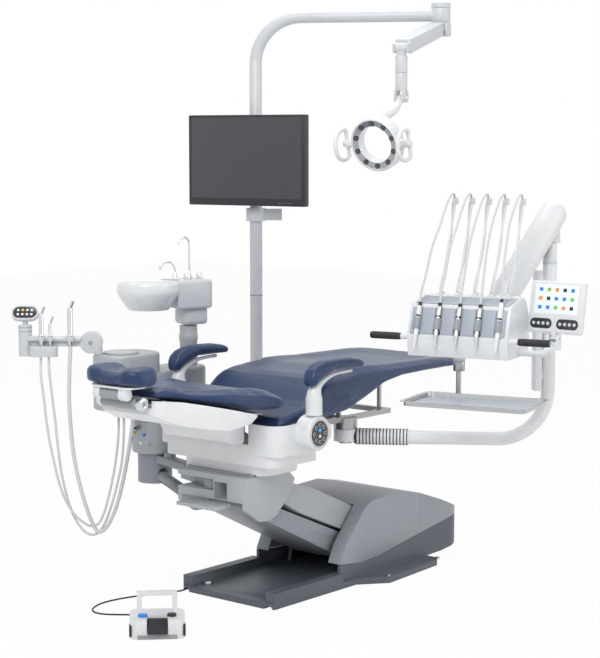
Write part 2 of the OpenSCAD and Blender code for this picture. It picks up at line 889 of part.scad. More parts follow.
module headrest_pad() {
  s = headrest_w / 260;
  color(navy)
    translate(up([0, 0, 0]))
      intersection() {
        translate([pad_x, 0, 700])
          linear_extrude(300)
            rounded(pad_l, headrest_w, 70);
        translate([pad_x - pad_l / 2 - 1, 0, 0])
          rotate([90, 0, 90])
            linear_extrude(pad_l + 2)
              polygon([[-130 * s, 816], [-130 * s, 852], [-114 * s, 876], [-92 * s, 880], [-66 * s, 874],
                [-30 * s, 859], [0, 856], [30 * s, 859], [66 * s, 874], [92 * s, 880], [114 * s, 876],
                [130 * s, 852], [130 * s, 816]]);
      }
}

// ---------------------------------------------------------------- pole, lamp and monitor
pole_foot = up([0, 0, 520]).z;
pole_bend_z = boom_z - boom_bend_r;
seat_corner = up([-230, 150, 0]);
pole_beam = [pole.x - seat_corner.x, pole.y - seat_corner.y];

module pole_bracket() {
  color("dimgray") {
    difference() {
      union() {
        translate([seat_corner.x, seat_corner.y + 8, pole_foot + 42])
          rotate([0, 0, atan2(pole_beam.y - 8, pole_beam.x)])
            translate([0, -18, 0])
              cube([norm(pole_beam) - 10, 36, 26]);
        translate([pole.x, pole.y, pole_foot])
          cylinder(h = 100, r = pole_r + 10);
      }
      translate([pole.x, pole.y, pole_foot + 10])
        cylinder(h = 120, r = pole_r);
      translate([seat_corner.x - 60, seat_corner.y - 60, pole_foot])
        cube([100, 68, 100]);
    }
  }
}

module lamp_pole() {
  color(grey_cover) {
    translate([pole.x, pole.y, pole_foot + 10])
      cylinder(h = pole_bend_z - pole_foot - 10, r = pole_r);
    translate([pole.x, pole.y, 0])
      rotate([0, 0, boom_yaw]) {
        translate([boom_bend_r, 0, pole_bend_z])
          rotate([90, 0, 0])
            rotate([0, 0, 90])
              rotate_extrude(angle = 90)
                translate([boom_bend_r, 0])
                  circle(pole_r - 0.5);
        difference() {
          union() {
            translate([boom_bend_r, 0, boom_z])
              rotate([0, 90, 0])
                cylinder(h = boom_reach - boom_bend_r, r = pole_r - 1);
            translate([boom_reach, 0, boom_z - 26])
              cylinder(h = 52, r = 36);
          }
          translate([boom_reach, 0, boom_z - 60])
            cylinder(h = 120, r = 14 + run);
        }
      }
    translate([pole.x, pole.y, 1290])
      cylinder(h = 50, r = pole_r + 14);
    translate([pole.x, pole.y, 1290])
      rotate([0, 0, -50])
        translate([0, -22, 3])
          cube([100, 44, 44]);
    translate(monitor_at)
      rotate([0, 0, monitor_yaw])
        difference() {
          union() {
            for (s = [-1, 1])
              translate([16, s * 34 - 8, -22])
                cube([32, 16, 44]);
            translate([40, -42, -22])
              cube([12, 84, 44]);
          }
          along_y([27, 0, 0], 6 + run, 200);
        }
  }
}

module monitor() {
  color(rubber_dark)
    translate(monitor_at)
      rotate([0, 0, monitor_yaw]) {
        translate([-22, -monitor_w / 2, -monitor_h / 2])
          cube([34, monitor_w, monitor_h]);
        translate([11, -22, -20])
          cube([16, 44, 40]);
        along_y([27, 0, 0], 12, 44);
        along_y([27, 0, 0], 6, 84);
      }
}

spring_from = [boom_end.x, boom_end.y, boom_end.z];

module lamp_knuckle() {
  color(grey_cover)
    translate(spring_from)
      rotate([0, 0, spring_yaw]) {
        translate([0, 0, -58])
          cylinder(h = 104, r = 14);
        translate([0, 0, 27])
          cylinder(h = 18, r = 36);
        translate([0, 0, -58])
          cylinder(h = 31, r = 36);
        for (s = [-1, 1])
          translate([0, s * 40 - (s > 0 ? 8 : 0), -78])
            cube([50, 8, 42]);
        difference() {
          for (s = [-1, 1])
            xz(s > 0 ? 32 : -40, s > 0 ? 40 : -32)
              polygon([[40, -78], [72, -78], [72, -34], [50, -34], [40, -44]]);
          along_y(arm_from, 8 + run, 200);
        }
        translate([0, 0, -78])
          cylinder(h = 21, r = 36);
      }
}

arm_from = [58, 0, -56];
arm_to = [spring_run, 0, -spring_drop];
arm_pitch = atan((arm_from.z - arm_to.z) / (arm_to.x - arm_from.x));
arm_len = norm(arm_to - arm_from);

module lamp_arm() {
  color(grey_cover)
    translate(spring_from)
      rotate([0, 0, spring_yaw])
        translate(arm_from)
          rotate([0, arm_pitch, 0])
            difference() {
              union() {
                translate([-12, -28, -22])
                  cube([arm_len - 14, 56, 48]);
                along_y([0, 0, 0], 8, 80);
                for (s = [-1, 1])
                  translate([arm_len - 30, s * 24 - 4, -16])
                    cube([48, 8, 32]);
              }
              translate([70, -25, -19])
                cube([arm_len - 170, 50, 42]);
              along_y([arm_len, 0, 0], 7 + run, 200);
            }
}

module lamp_drop() {
  color(grey_cover)
    translate(lamp_top) {
      rotate([0, 0, spring_yaw]) {
        along_y([0, 0, 0], 7, 56);
        along_y([0, 0, 0], 17, 38);
        translate([-12, -14, -30])
          cube([24, 28, 30]);
      }
      difference() {
        translate([0, 0, -84])
          cylinder(h = 58, r = 21);
        translate([0, 0, -90])
          cylinder(h = 44, r = 10 + run);
      }
    }
}

yoke_pin = [0, 0, -170];

module lamp_yoke() {
  color(grey_cover)
    translate(lamp_top) {
      translate([0, 0, -146])
        cylinder(h = 61, r = 21);
      translate([0, 0, -90])
        cylinder(h = 43, r = 10);
      rotate([0, 0, lamp_yaw]) {
        difference() {
          for (s = [-1, 1])
            xz(s > 0 ? 12 : -20, s > 0 ? 20 : -12)
              polygon([[-14, -144], [14, -144], [16, -178], [8, -186], [-8, -186], [-16, -178]]);
          along_y(yoke_pin, 6 + run, 100);
        }
      }
    }
}

ring_r = ring_d / 2;
handle_r = 52;

module lamp_head() {
  color(white_paint)
    translate(lamp_top)
      rotate([0, 0, lamp_yaw]) {
        along_y(yoke_pin, 6, 54);
        along_y(yoke_pin, 11, 23);
        bar(yoke_pin, yoke_pin + [-44, 0, -44], 10);
        bar(yoke_pin + [-38, 0, -36], [-128, 22, -246], 15, 20);
      }
  color(white_paint)
    translate(lamp_centre)
      rotate([0, lamp_pitch, lamp_yaw]) {
        rotate([0, 90, 0])
          difference() {
            union() {
              translate([0, 0, -26])
                cylinder(h = 52, r = ring_r);
              rotate([90, 0, 0])
                cylinder(h = ring_d + 74, r = 16, center = true);
            }
            translate([0, 0, -60])
              cylinder(h = 120, r = ring_bore / 2);
          }
        for (s = [-1, 1])
          translate([-22, s * (ring_r + 28), 0]) {
            rotate([90, 0, 0])
              rotate([0, 0, 60])
                rotate_extrude(angle = 240)
                  translate([handle_r, 0])
                    circle(7);
            translate([handle_r * cos(60), 0, -handle_r * sin(60) - 3])
              cylinder(h = 2 * handle_r * sin(60) + 6, r = 6.5);
          }
      }
}

// ---------------------------------------------------------------- delivery unit
balance_pitch = atan(balance_drop / balance_run);
balance_len = norm([balance_drop, balance_run]);
balance_r = balance_d / 2;
tube_r = delivery_d / 2;

module delivery_arm() {
  color(white_paint) {
    difference() {
      translate([swing.x, swing.y, bracket_z - 45])
        cylinder(h = 44, r = 42);
      translate([swing.x, swing.y, bracket_z - 60])
        cylinder(h = 80, r = 16 + run);
    }
    translate([swing.x, swing.y, tube_z])
      rotate([0, 0, reach_yaw]) {
        difference() {
          union() {
            rotate([0, 90, 0])
              cylinder(h = delivery_reach - bend_r, r = tube_r);
            translate([40, 0, 0])
              rotate([0, 90, 0])
                cylinder(h = 190, r = tube_r + 5);
          }
          translate([0, 0, -60])
            cylinder(h = 120, r = 30);
        }
        translate([delivery_reach - bend_r - 0.5, 0, 0])
          quarter(bend_r + 0.5, tube_r - 0.3);
      }
    translate([riser.x, riser.y, tube_z + bend_r])
      cylinder(h = upright_seam_z - tube_z - bend_r, r = tube_r);
    translate([riser.x, riser.y, upright_seam_z - 1])
      cylinder(h = 66, r = 14);
    translate([riser.x, riser.y, 0])
      rotate([0, 0, 140])
        translate([0, -22, 0]) {
          translate([tube_r + 6, 0, tube_z + bend_r])
            cube([24, 44, upright_seam_z - tube_z - bend_r - 24]);
          for (z = [40, 380])
            translate([tube_r - 4, 12, tube_z + bend_r + z])
              cube([12, 20, 30]);
        }
  }
}

post_top = upright_seam_z + 74;

module delivery_post() {
  color(white_paint) {
    difference() {
      translate([riser.x, riser.y, upright_seam_z + gap])
        cylinder(h = post_top - upright_seam_z - gap, r = tube_r);
      translate([riser.x, riser.y, upright_seam_z - 10])
        cylinder(h = 78, r = 14 + run);
    }
    translate([balance_top.x, balance_top.y, 0])
      rotate([0, 0, 180 + balance_yaw])
        difference() {
          xz(-12, 12)
            polygon([[-30, post_top - 2], [16, post_top - 2], [20, balance_top.z], [14, balance_top.z + 14],
              [0, balance_top.z + 20], [-14, balance_top.z + 14], [-20, balance_top.z]]);
          along_y([0, 0, balance_top.z], 8 + run, 60);
        }
  }
}

module on_balance() {
  translate(balance_top)
    rotate([0, balance_pitch, 180 + balance_yaw])
      children();
}

module balance_arm() {
  color(white_paint)
    on_balance() {
      difference() {
        union() {
          rotate([0, 90, 0])
            cylinder(h = balance_len - 10, r = balance_r);
          sphere(balance_r);
        }
        rotate([0, 90, 0])
          cylinder(h = balance_len + 20, r = balance_r - 4);
        sphere(balance_r - 4);
        // opening that the upright's tongue stands in
        translate([-balance_r - 10, -28, -balance_r - 10])
          cube([balance_r + 160, 56, balance_r + 6]);
        translate([-balance_r - 10, -28, -20])
          cube([balance_r - 10, 56, 60]);
      }
      for (x = [0, balance_len])
        along_y([x, 0, 0], 8, 2 * balance_r - 6);
      for (s = [-1, 1])
        translate([-14, s * 30 - 3, -14])
          cube([balance_len + 28, 6, 28]);
      // gas spring
      rotate([0, 90, 0])
        translate([0, 0, 60])
          cylinder(h = balance_len - 120, r = 12);
      for (x = [64, balance_len - 64])
        along_y([x, 0, 0], 6, 62);
    }
}

knuckle_reach = 55;

module on_knuckle() {
  translate(balance_low)
    rotate([0, 0, 180 + balance_yaw])
      children();
}

module delivery_knuckle() {
  color(grey_cover)
    on_knuckle() {
      difference() {
        xz(-12, 12)
          polygon([[-18, -6], [-14, 14], [0, 19], [14, 14], [20, 0], [48, -12], [48, -38], [8, -38], [-14, -18]]);
        along_y([0, 0, 0], 8 + run, 60);
      }
      translate([knuckle_reach, 0, -40])
        cylinder(h = 32, r = 20);
      translate([knuckle_reach, 0, -130])
        cylinder(h = 100, r = 14);
      translate([knuckle_reach, 0, -132])
        cylinder(h = 8, r = 20);
    }
}

module on_head() {
  translate(head)
    rotate([0, 0, head_yaw])
      children();
}

head_wall = 4;
holder_y = [2 * holder_pitch, holder_pitch, 0, -holder_pitch, -2 * holder_pitch];
handle_z = 62;
tray_pivot = [-30, 35, 0];
panel_pivot = [16, -283, 62];

module delivery_head() {
  color(white_paint) {
    on_head() {
      difference() {
        xz(-head_half, head_half)
          polygon([[-139, 0], [56, 0], [75, 36], [75, 120], [38, 184], [10, 195], [-20, 190], [-114, 174],
            [-152, 66]]);
        xz(-head_half + head_wall, head_half - head_wall)
          polygon([[-135, 4], [54, 4], [71, 38], [71, 118], [35, 181], [9, 190], [-20, 185], [-106, 171],
            [-120, 110], [-146, 64]]);
        // recesses that the instruments hang in
        for (y = holder_y)
          translate([-157, y, 66])
            rotate([0, holder_lean, 0])
              translate([0, 0, -42])
                cylinder(h = 190, r = 9.4);
        // slots for the whip arms' hubs
        for (i = [0:4])
          translate([whip_base.x - 19, (2 - i) * whip_pitch - 10, 168])
            cube([38, 20, 40]);
      }
      // rail under the whip arms
      translate([26, -head_half + 16, 190])
        rotate([-90, 0, 0])
          cylinder(h = 2 * head_half - 32, r = 9);
      for (s = [-1, 1])
        translate([14, s * (head_half - 24) - 6, 180])
          cube([20, 12, 12]);
      // handles at the two ends
      for (s = [-1, 1])
        translate([-128, s * head_half, handle_z])
          rotate([s > 0 ? -90 : 90, 0, 0])
            cylinder(h = 142, r = 9.5);
      // pivot of the tray arm and bracket of the panel
      translate([tray_pivot.x, tray_pivot.y, -22])
        cylinder(h = 22, r = 22);
      translate([tray_pivot.x, tray_pivot.y, -60])
        cylinder(h = 50, r = 9);
      bar([-40, -head_half + 20, 16], [-10, panel_pivot.y + 34, 12], 11);
      bar([-10, panel_pivot.y + 34, 12], [panel_pivot.x, panel_pivot.y, 34], 11);
      translate([-10, panel_pivot.y + 34, 12])
        sphere(12);
      difference() {
        for (s = [-1, 1])
          translate([panel_pivot.x - 14, panel_pivot.y + s * 17 - 5, 26])
            cube([28, 10, 50]);
        along_y(panel_pivot, 6 + run, 700);
      }
      translate([panel_pivot.x - 14, panel_pivot.y - 22, 26])
        cube([28, 44, 14]);
    }
    // lug on the knuckle's pin
    difference() {
      union() {
        on_knuckle()
          translate([knuckle_reach, 0, -122])
            cylinder(h = 80, r = 28);
        on_head()
          translate([72, -34, 34])
            cube([24, 44, 70]);
      }
      on_knuckle()
        translate([knuckle_reach, 0, -200])
          cylinder(h = 260, r = 14 + run);
    }
  }
}

holder_lean = atan((152 - 114) / (174 - 66));

module instruments() {
  color(steel)
    on_head()
      for (i = [0:4])
        translate([-157, holder_y[i], 66])
          rotate([0, holder_lean, 0]) {
            translate([0, 0, 8])
              cylinder(h = i == 4 ? 130 : 108, r = 8.5);
            translate([0, 0, -38])
              cylinder(h = 47, r1 = 3, r2 = 8.5);
          }
}

module whip(i) {
  y = (2 - i) * whip_pitch;
  a = whip_base + [0, y, 0];
  b = whip_tip + [0, y, 0];
  color("gainsboro")
    on_head() {
      bar(a, b, 4);
      translate([26, y + 8, 190])
        rotate([90, 0, 0])
          difference() {
            cylinder(h = 16, r = 17);
            translate([0, 0, -5])
              cylinder(h = 30, r = 9 + run);
          }
      translate(b)
        rotate([90, 0, 0])
          cylinder(h = 14, r = 13, center = true);
    }
}

module whip_arm_1() {
  whip(0);
}

module whip_arm_2() {
  whip(1);
}

module whip_arm_3() {
  whip(2);
}

module whip_arm_4() {
  whip(3);
}

module whip_arm_5() {
  whip(4);
}

function hose_up(i) = let (y = (2 - i) * whip_pitch, h = holder_y[i], top = i == 4 ? 201 : 178)
  [[-118, h, top], [-106, h, top + 38], [-82, h + (y - h) * 0.3, top + 92], [-44, h + (y - h) * 0.6, 360],
   [10, y, 436], [66, y, 500], [104, y, 530], [134, y, 537], [156, y, 533]];
function hose_down(i) = let (y = (2 - i) * whip_pitch + 12.5)
  [[162, y, 500], [156, y, 440], [138, y, 370], [106, y, 300], [72, y, 250], [52, y, 214], [45, y, 196], [43, y, 184]];

module instrument_hoses() {
  color("gainsboro")
    on_head()
      for (i = [0:4]) {
        swept(hose_up(i), hose_d, 8, 1);
        swept(hose_down(i), hose_d - 1, 8, 1);
      }
}

module tray_arm() {
  color(steel)
    on_head() {
      difference() {
        union() {
          translate([tray_pivot.x, tray_pivot.y, -58])
            cylinder(h = 35, r = 20);
          bar(tray_pivot + [8, 4, -44], tray_pivot + [22, 10, -152], 9);
        }
        translate([tray_pivot.x, tray_pivot.y, -62])
          cylinder(h = 72, r = 9 + run);
      }
      translate([tray_pivot.x + 22, tray_pivot.y + 10, -156])
        sphere(11);
      bar(tray_pivot + [22, 10, -160.5], tray_pivot + [-100, -60, -161.5], 8);
      translate([-190, -150, -158])
        cube([110, 150, 6]);
    }
}

tray_at = [-155, -70, -152];

module tray() {
  color(chrome)
    on_head()
      translate(tray_at) {
        difference() {
          linear_extrude(16)
            rounded(tray_d - 24, tray_l - 24, 22);
          translate([0, 0, 1.5])
            linear_extrude(20)
              rounded(tray_d - 27, tray_l - 27, 20.5);
        }
        translate([0, 0, 14.5])
          linear_extrude(1.5)
            difference() {
              rounded(tray_d, tray_l, 30);
              rounded(tray_d - 26, tray_l - 26, 21);
            }
      }
}

panel_h = 176;
panel_tilt = 10;

module touch_panel() {
  color(white_paint)
    on_head()
      translate(panel_pivot) {
        rotate([0, panel_tilt, 2 - head_yaw]) {
          translate([-8, -panel_w / 2, 18])
            cube([26, panel_w, panel_h]);
          translate([-6, -9, 5])
            cube([12, 18, 18]);
        }
        along_y([0, 0, 0], 10, 22);
        along_y([0, 0, 0], 6, 42);
      }
}

// ---------------------------------------------------------------- water unit
casing_l = 485;
casing_w = 164;
casing_h = unit_top - unit_belly;
casing_x = -19.5;
casing_z = unit_belly;
foot_r = unit_foot_d / 2;

module unit_arm() {
  color(grey_cover)
    translate([unit_pivot.x, unit_pivot.y, 0])
      rotate([0, 0, unit_yaw]) {
        difference() {
          union() {
            translate([0, 0, unit_pivot.z - 3])
              cylinder(h = 34, r = 32);
            translate([0, -20, unit_pivot.z - 3])
              cube([205, 40, 34]);
          }
          translate([0, 0, unit_pivot.z - 40])
            cylinder(h = 120, r = 12 + run);
        }
        translate([170, -25, unit_pivot.z + 24])
          cube([unit_reach - 170, 50, 26]);
        translate([unit_reach, 0, unit_floor - 112])
          cylinder(h = 111, r = foot_r - 22);
        translate([unit_reach - 118, 0, unit_pivot.z + 48])
          cylinder(h = 20, r = 22);
        bar([unit_reach - 50, 0, unit_floor - 84], [150, 14, unit_floor - 118], 21);
      }
}

module casing(inset) {
  translate([unit_axis.x + casing_x, unit_axis.y, 0]) {
    translate([0, 0, casing_z + inset])
      linear_extrude(128 - 2 * inset)
        rounded(casing_l - 2 * inset, casing_w - 2 * inset, 60);
    translate([-casing_l / 4, 0, casing_z + inset])
      linear_extrude(casing_h - 2 * inset)
        rounded(casing_l / 2 - 2 * inset, casing_w - 2 * inset, 60);
  }
}

module unit_body() {
  color(white_paint) {
    difference() {
      union() {
        translate([unit_axis.x, unit_axis.y, unit_floor])
          cylinder(h = 180, r = foot_r);
        difference() {
          casing(0);
          casing(4);
        }
        translate([cuspidor.x, cuspidor.y, casing_z + 4])
          cylinder(h = bowl_z - casing_z - 6, r = cuspidor_post_d / 2);
        translate([cuspidor.x, cuspidor.y, bowl_z - 10])
          cylinder(h = 60, r = 24);
        translate([unit_axis.x - 168, unit_axis.y, casing_z + casing_h])
          cylinder(h = 8, r = 62);
        translate([assist_pivot.x, assist_pivot.y, unit_top - 30])
          cylinder(h = 52, r = 8);
        translate([assist_pivot.x, assist_pivot.y, unit_top - 30])
          cylinder(h = 30, r = 14);
      }
      translate([unit_axis.x, unit_axis.y, unit_floor + 6])
        cylinder(h = 160, r = foot_r - 5);
    }
  }
}

module on_bowl() {
  translate([cuspidor.x, cuspidor.y, bowl_z])
    rotate([0, 0, bowl_yaw])
      children();
}

basin_x = -165;
basin_r = bowl_d / 2;

module bowl() {
  color(white_paint)
    on_bowl()
      difference() {
        union() {
          translate([-35, -50, 0])
            cube([95, 100, 70]);
          translate([-33, 0, 60])
            linear_extrude(108)
              rounded(220, 150, 40);
          translate([basin_x, 0, 62])
            cylinder(h = 60, r1 = basin_r - 42, r2 = basin_r - 2);
          translate([basin_x, 0, 120])
            cylinder(h = 42, r = basin_r);
        }
        translate([basin_x, 0, 72])
          cylinder(h = 55, r1 = basin_r - 52, r2 = basin_r - 10);
        translate([basin_x, 0, 126.5])
          cylinder(h = 80, r = basin_r - 9);
        translate([0, 0, -20])
          cylinder(h = 72, r = 24 + run);
      }
}

module tap(p, h, r, turn) {
  translate(p) {
    cylinder(h = 26, r1 = 12, r2 = 6);
    cylinder(h = h, r = 4);
    translate([0, 0, h])
      rotate([90, 0, turn])
        translate([-r, 0, 0])
          rotate_extrude(angle = 180)
            translate([r, 0])
              circle(4);
  }
}

module bowl_taps() {
  color(chrome)
    on_bowl() {
      tap([28, 42, 168], 128, 24, 8);
      tap([-44, 20, 168], 34, 30, -6);
      translate([52, 8, 168])
        cylinder(h = 20, r = 12);
      translate([0, 8, 168])
        cylinder(h = 18, r = 14);
    }
}

// assistant's arm: local x runs from its pivot out to the holders
module on_assist() {
  translate(assist_pivot)
    rotate([0, 0, assist_yaw])
      children();
}

// where the instruments stand: along the arm, in front of it, their foot's height, their top, their radius
assist_tools = [[197, 34, 34, 179, 8], [166, 35, 34, 144, 6], [94, 37, 38, 200, 10]];

module assist_arm() {
  color(white_paint)
    on_assist() {
      difference() {
        union() {
          translate([0, 0, gap])
            cylinder(h = 28, r = 16);
          translate([25, 18, 44])
            rotate([90, 0, 0])
              cylinder(h = 46, r = 39);
        }
        translate([0, 0, -20])
          cylinder(h = 44, r = 8 + run);
      }
      translate([25, -22, 30])
        cube([assist_reach - 25, 34, 34]);
      translate([assist_reach, 0, -5])
        cylinder(h = 110, r = 24);
      translate([assist_reach, -4, 100])
        cylinder(h = 42, r = 10);
      translate([assist_reach, -4, 146])
        rotate([-50, 0, 0])
          translate([0, 0, -7])
            linear_extrude(14)
              rounded(97, 60, 28);
      // bar with a ring for each instrument
      translate([240, 5, 54])
        cube([12, 17, 12]);
      difference() {
        union() {
          translate([58, 22, 58])
            rotate([0, 90, 0])
              cylinder(h = 192, r = 9);
          for (t = assist_tools)
            translate([t.x, t.y, 52])
              cylinder(h = 16, r = t[4] + 5);
        }
        for (t = assist_tools)
          translate([t.x, t.y, 40])
            cylinder(h = 40, r = t[4] + 0.5);
      }
      // casing that the hoses leave
      translate([190, 30, hose_low])
        linear_extrude(38)
          rounded(100, 46, 20);
    }
}

module assist_instruments() {
  color(chrome)
    on_assist()
      for (t = assist_tools)
        translate([t.x, t.y, t.z]) {
          cylinder(h = t[3] - t.z - 30, r = t[4]);
          translate([0, 0, t[3] - t.z - 34])
            rotate([-12, -22, 0])
              cylinder(h = 34, r = t[4] * 0.6);
          translate([0, 0, 68 - t.z])
            cylinder(h = 5, r = t[4] + 3);
        }
}

module assist_hoses() {
  color("gainsboro") {
    swept(assist_routes[0], hose_d, 8, 1);
    swept(assist_routes[1], hose_d, 8, 1);
    swept(assist_routes[2], suction_d, 8, 1);
  }
}

// ---------------------------------------------------------------- foot control
module on_foot() {
  translate(foot)
    rotate([0, 0, foot_yaw])
      children();
}

button_y = foot_w / 2 - 42;

module foot_control() {
  color(white_paint)
    on_foot()
      difference() {
        union() {
          translate([0, 0, 4])
            linear_extrude(62)
              rounded(foot_l, foot_w, 30);
          for (x = [-50, 50], y = [-60, 60])
            translate([x, y, 0])
              cylinder(h = 5, r = 12);
          // carrying handle
          for (s = [-1, 1])
            translate([foot_l / 2 - 26, s * 58 - 8, 60])
              cube([16, 16, 62]);
          translate([foot_l / 2 - 26, -66, 116])
            cube([16, 132, 14]);
          translate([foot_l / 2 - 6, 40, 16])
            rotate([0, 90, 0])
              cylinder(h = 26, r = 9);
        }
        translate([-foot_l / 2 - 1, -34, 20])
          cube([76, 68, 60]);
        for (s = [-1, 1])
          translate([-18, s * button_y, 58])
            cylinder(h = 20, r = 15 + 0.5);
        translate([-18, 0, 36])
          rotate([90, 0, 0])
            cylinder(h = 100, r = 5 + run, center = true);
      }
}

module foot_pedal() {
  color(rubber_dark)
    on_foot() {
      xz(-32, 32)
        polygon([[-foot_l / 2 - 14, 24], [-foot_l / 2 - 14, 32], [-40, 58], [-6, 56], [-6, 30], [-30, 26]]);
      along_y([-18, 0, 36], 5, 96);
    }
}

module foot_button(s) {
  on_foot()
    translate([-18, s * button_y, 62])
      cylinder(h = 12, r = 15);
}

module foot_button_blue() {
  color("dodgerblue")
    foot_button(1);
}

module foot_button_dark() {
  color(rubber_dark)
    foot_button(-1);
}

module foot_cable() {
  color(rubber_dark)
    swept(cable_route, cable_d, 8, 2);
}

base_plate();
base_cover_front();
base_cover_rear();
base_frame();
pump_unit();
lift_cylinder();
lift_rod();
lift_arm();
parallel_link();
carrier();
seat_frame();
seat_shell();
seat_cushion();
armrest_hubs();
armrest_post_left();
armrest_pad_left();
armrest_post_right();
armrest_pad_right();
back_frame();
back_shell();
back_cushion();
headrest_slide();
headrest_link();
headrest_shell();
headrest_pad();
pole_bracket();
lamp_pole();
monitor();
lamp_knuckle();
lamp_arm();
lamp_drop();
lamp_yoke();
lamp_head();
delivery_arm();
delivery_post();
balance_arm();
delivery_knuckle();
delivery_head();
instruments();
whip_arm_1();
whip_arm_2();
whip_arm_3();
whip_arm_4();
whip_arm_5();
instrument_hoses();
tray_arm();
tray();
touch_panel();
unit_arm();
unit_body();
bowl();
bowl_taps();
assist_arm();
assist_instruments();
assist_hoses();
foot_control();
foot_pedal();
foot_button_blue();
foot_button_dark();
foot_cable();
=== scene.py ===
"""Dental treatment unit: patient chair, instrument table, water unit, lamp, screen and foot control."""
import json
import math

import bmesh
import bpy
from mathutils import Matrix, Vector
from mathutils.kdtree import KDTree

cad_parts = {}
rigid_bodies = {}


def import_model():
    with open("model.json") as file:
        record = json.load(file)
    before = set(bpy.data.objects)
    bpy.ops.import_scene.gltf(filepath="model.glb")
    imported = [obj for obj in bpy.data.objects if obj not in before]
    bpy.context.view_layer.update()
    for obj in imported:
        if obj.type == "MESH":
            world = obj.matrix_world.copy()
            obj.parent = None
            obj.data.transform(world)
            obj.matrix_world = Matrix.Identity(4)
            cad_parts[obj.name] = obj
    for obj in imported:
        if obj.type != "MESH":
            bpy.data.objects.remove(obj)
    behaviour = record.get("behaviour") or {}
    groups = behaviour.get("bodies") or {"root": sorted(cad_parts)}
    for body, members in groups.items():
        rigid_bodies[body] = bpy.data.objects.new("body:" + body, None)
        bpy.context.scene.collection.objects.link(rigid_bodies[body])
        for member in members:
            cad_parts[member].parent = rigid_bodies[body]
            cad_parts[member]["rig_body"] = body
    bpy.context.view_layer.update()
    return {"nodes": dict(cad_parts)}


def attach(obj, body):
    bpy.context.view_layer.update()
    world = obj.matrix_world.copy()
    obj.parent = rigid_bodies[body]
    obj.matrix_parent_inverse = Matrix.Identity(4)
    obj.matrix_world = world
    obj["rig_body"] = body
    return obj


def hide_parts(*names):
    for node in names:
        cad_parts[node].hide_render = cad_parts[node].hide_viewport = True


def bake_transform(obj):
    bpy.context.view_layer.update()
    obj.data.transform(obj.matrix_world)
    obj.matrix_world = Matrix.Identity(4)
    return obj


bl_info = {
    "name": "Dental treatment unit",
    "version": (1, 0, 0),
    "blender": (4, 5, 0),
    "location": "View3D > Sidebar > Dental unit",
    "description": "Builds the finished look of a dental treatment unit over its CAD frame",
    "category": "Add Mesh",
}

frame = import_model()
MM = 0.001


def mm(*p):
    """A point or size given in millimetres."""
    return Vector(p) * MM


def linear(code):
    """An sRGB hex colour as linear RGBA."""
    parts = [int(code[i:i + 2], 16) / 255 for i in (1, 3, 5)]
    return [c / 12.92 if c <= 0.04045 else ((c + 0.055) / 1.055) ** 2.4 for c in parts] + [1.0]


# ------------------------------------------------------------------ datums of the CAD, in millimetres
LIFT_UP = Vector((-0.085, 0, 0.763))


def up(x, y, z):
    return Vector((x, y, z)) + LIFT_UP


def turn(angle, axis="Z"):
    return Matrix.Rotation(math.radians(angle), 4, axis)


def at(x, y, z):
    return Matrix.Translation(Vector((x, y, z)))


SWING = up(40, -142, 560)
RISER = Vector((SWING.x + 725 * 0.552, SWING.y - 725 * 0.834, 0))
TUBE_Z = SWING.z - 27
BALANCE_TOP = Vector((RISER.x + 14, RISER.y, 1337))
BALANCE_YAW, BALANCE_RUN, BALANCE_DROP = -13, 262, 310
BALANCE_LOW = BALANCE_TOP + Vector((-BALANCE_RUN * math.cos(math.radians(13)),
                                    BALANCE_RUN * math.sin(math.radians(13)), -BALANCE_DROP))
HEAD = at(BALANCE_LOW.x - 151, BALANCE_LOW.y + 1, BALANCE_LOW.z - 150) @ turn(14)
POLE = up(203, 430, 0)
LAMP_TOP = Vector((POLE.x + 707 * math.cos(math.radians(-59.7)) + 596 * math.cos(math.radians(202.5)),
                   POLE.y + 707 * math.sin(math.radians(-59.7)) + 596 * math.sin(math.radians(202.5)), 1914))
LAMP = at(LAMP_TOP.x - 121, LAMP_TOP.y + 9, LAMP_TOP.z - 325) @ turn(6) @ turn(-16, "Y")
MONITOR = at(POLE.x - 66, POLE.y - 21, 1523) @ turn(10)
UNIT_PIVOT = up(-475, 30, 405)
UNIT_AXIS = Vector((UNIT_PIVOT.x + 443 * math.cos(math.radians(72)),
                    UNIT_PIVOT.y + 443 * math.sin(math.radians(72)), 0))
UNIT_FLOOR = UNIT_PIVOT.z + 58
UNIT_BELLY = UNIT_FLOOR + 176
UNIT_TOP = UNIT_FLOOR + 376
ASSIST = at(UNIT_AXIS.x - 244, UNIT_AXIS.y + 37, UNIT_TOP) @ turn(128.8)
BOWL = at(UNIT_AXIS.x + 177, UNIT_AXIS.y - 5, UNIT_FLOOR + 455) @ turn(-18)
FOOT = at(-905, -115, 0) @ turn(45)
HOLDERS = [144, 72, 0, -72, -144]
WHIPS = [124, 62, 0, -62, -124]


# ------------------------------------------------------------------ settings
class ChairSettings(bpy.types.PropertyGroup):
    """Sizes and colours of the chair's upholstery and shells."""
    leather: bpy.props.FloatVectorProperty(name="Leather", description="Colour of the cushions",
                                           subtype="COLOR", size=4, default=linear("#12305a"))
    swell: bpy.props.FloatProperty(name="Swell", description="Furthest that a cushion may swell when it is stuffed",
                                   default=0.008, unit="LENGTH")
    voxel: bpy.props.FloatProperty(name="Cloth mesh", description="Mesh size of the cushions' covers",
                                   default=0.006, unit="LENGTH")


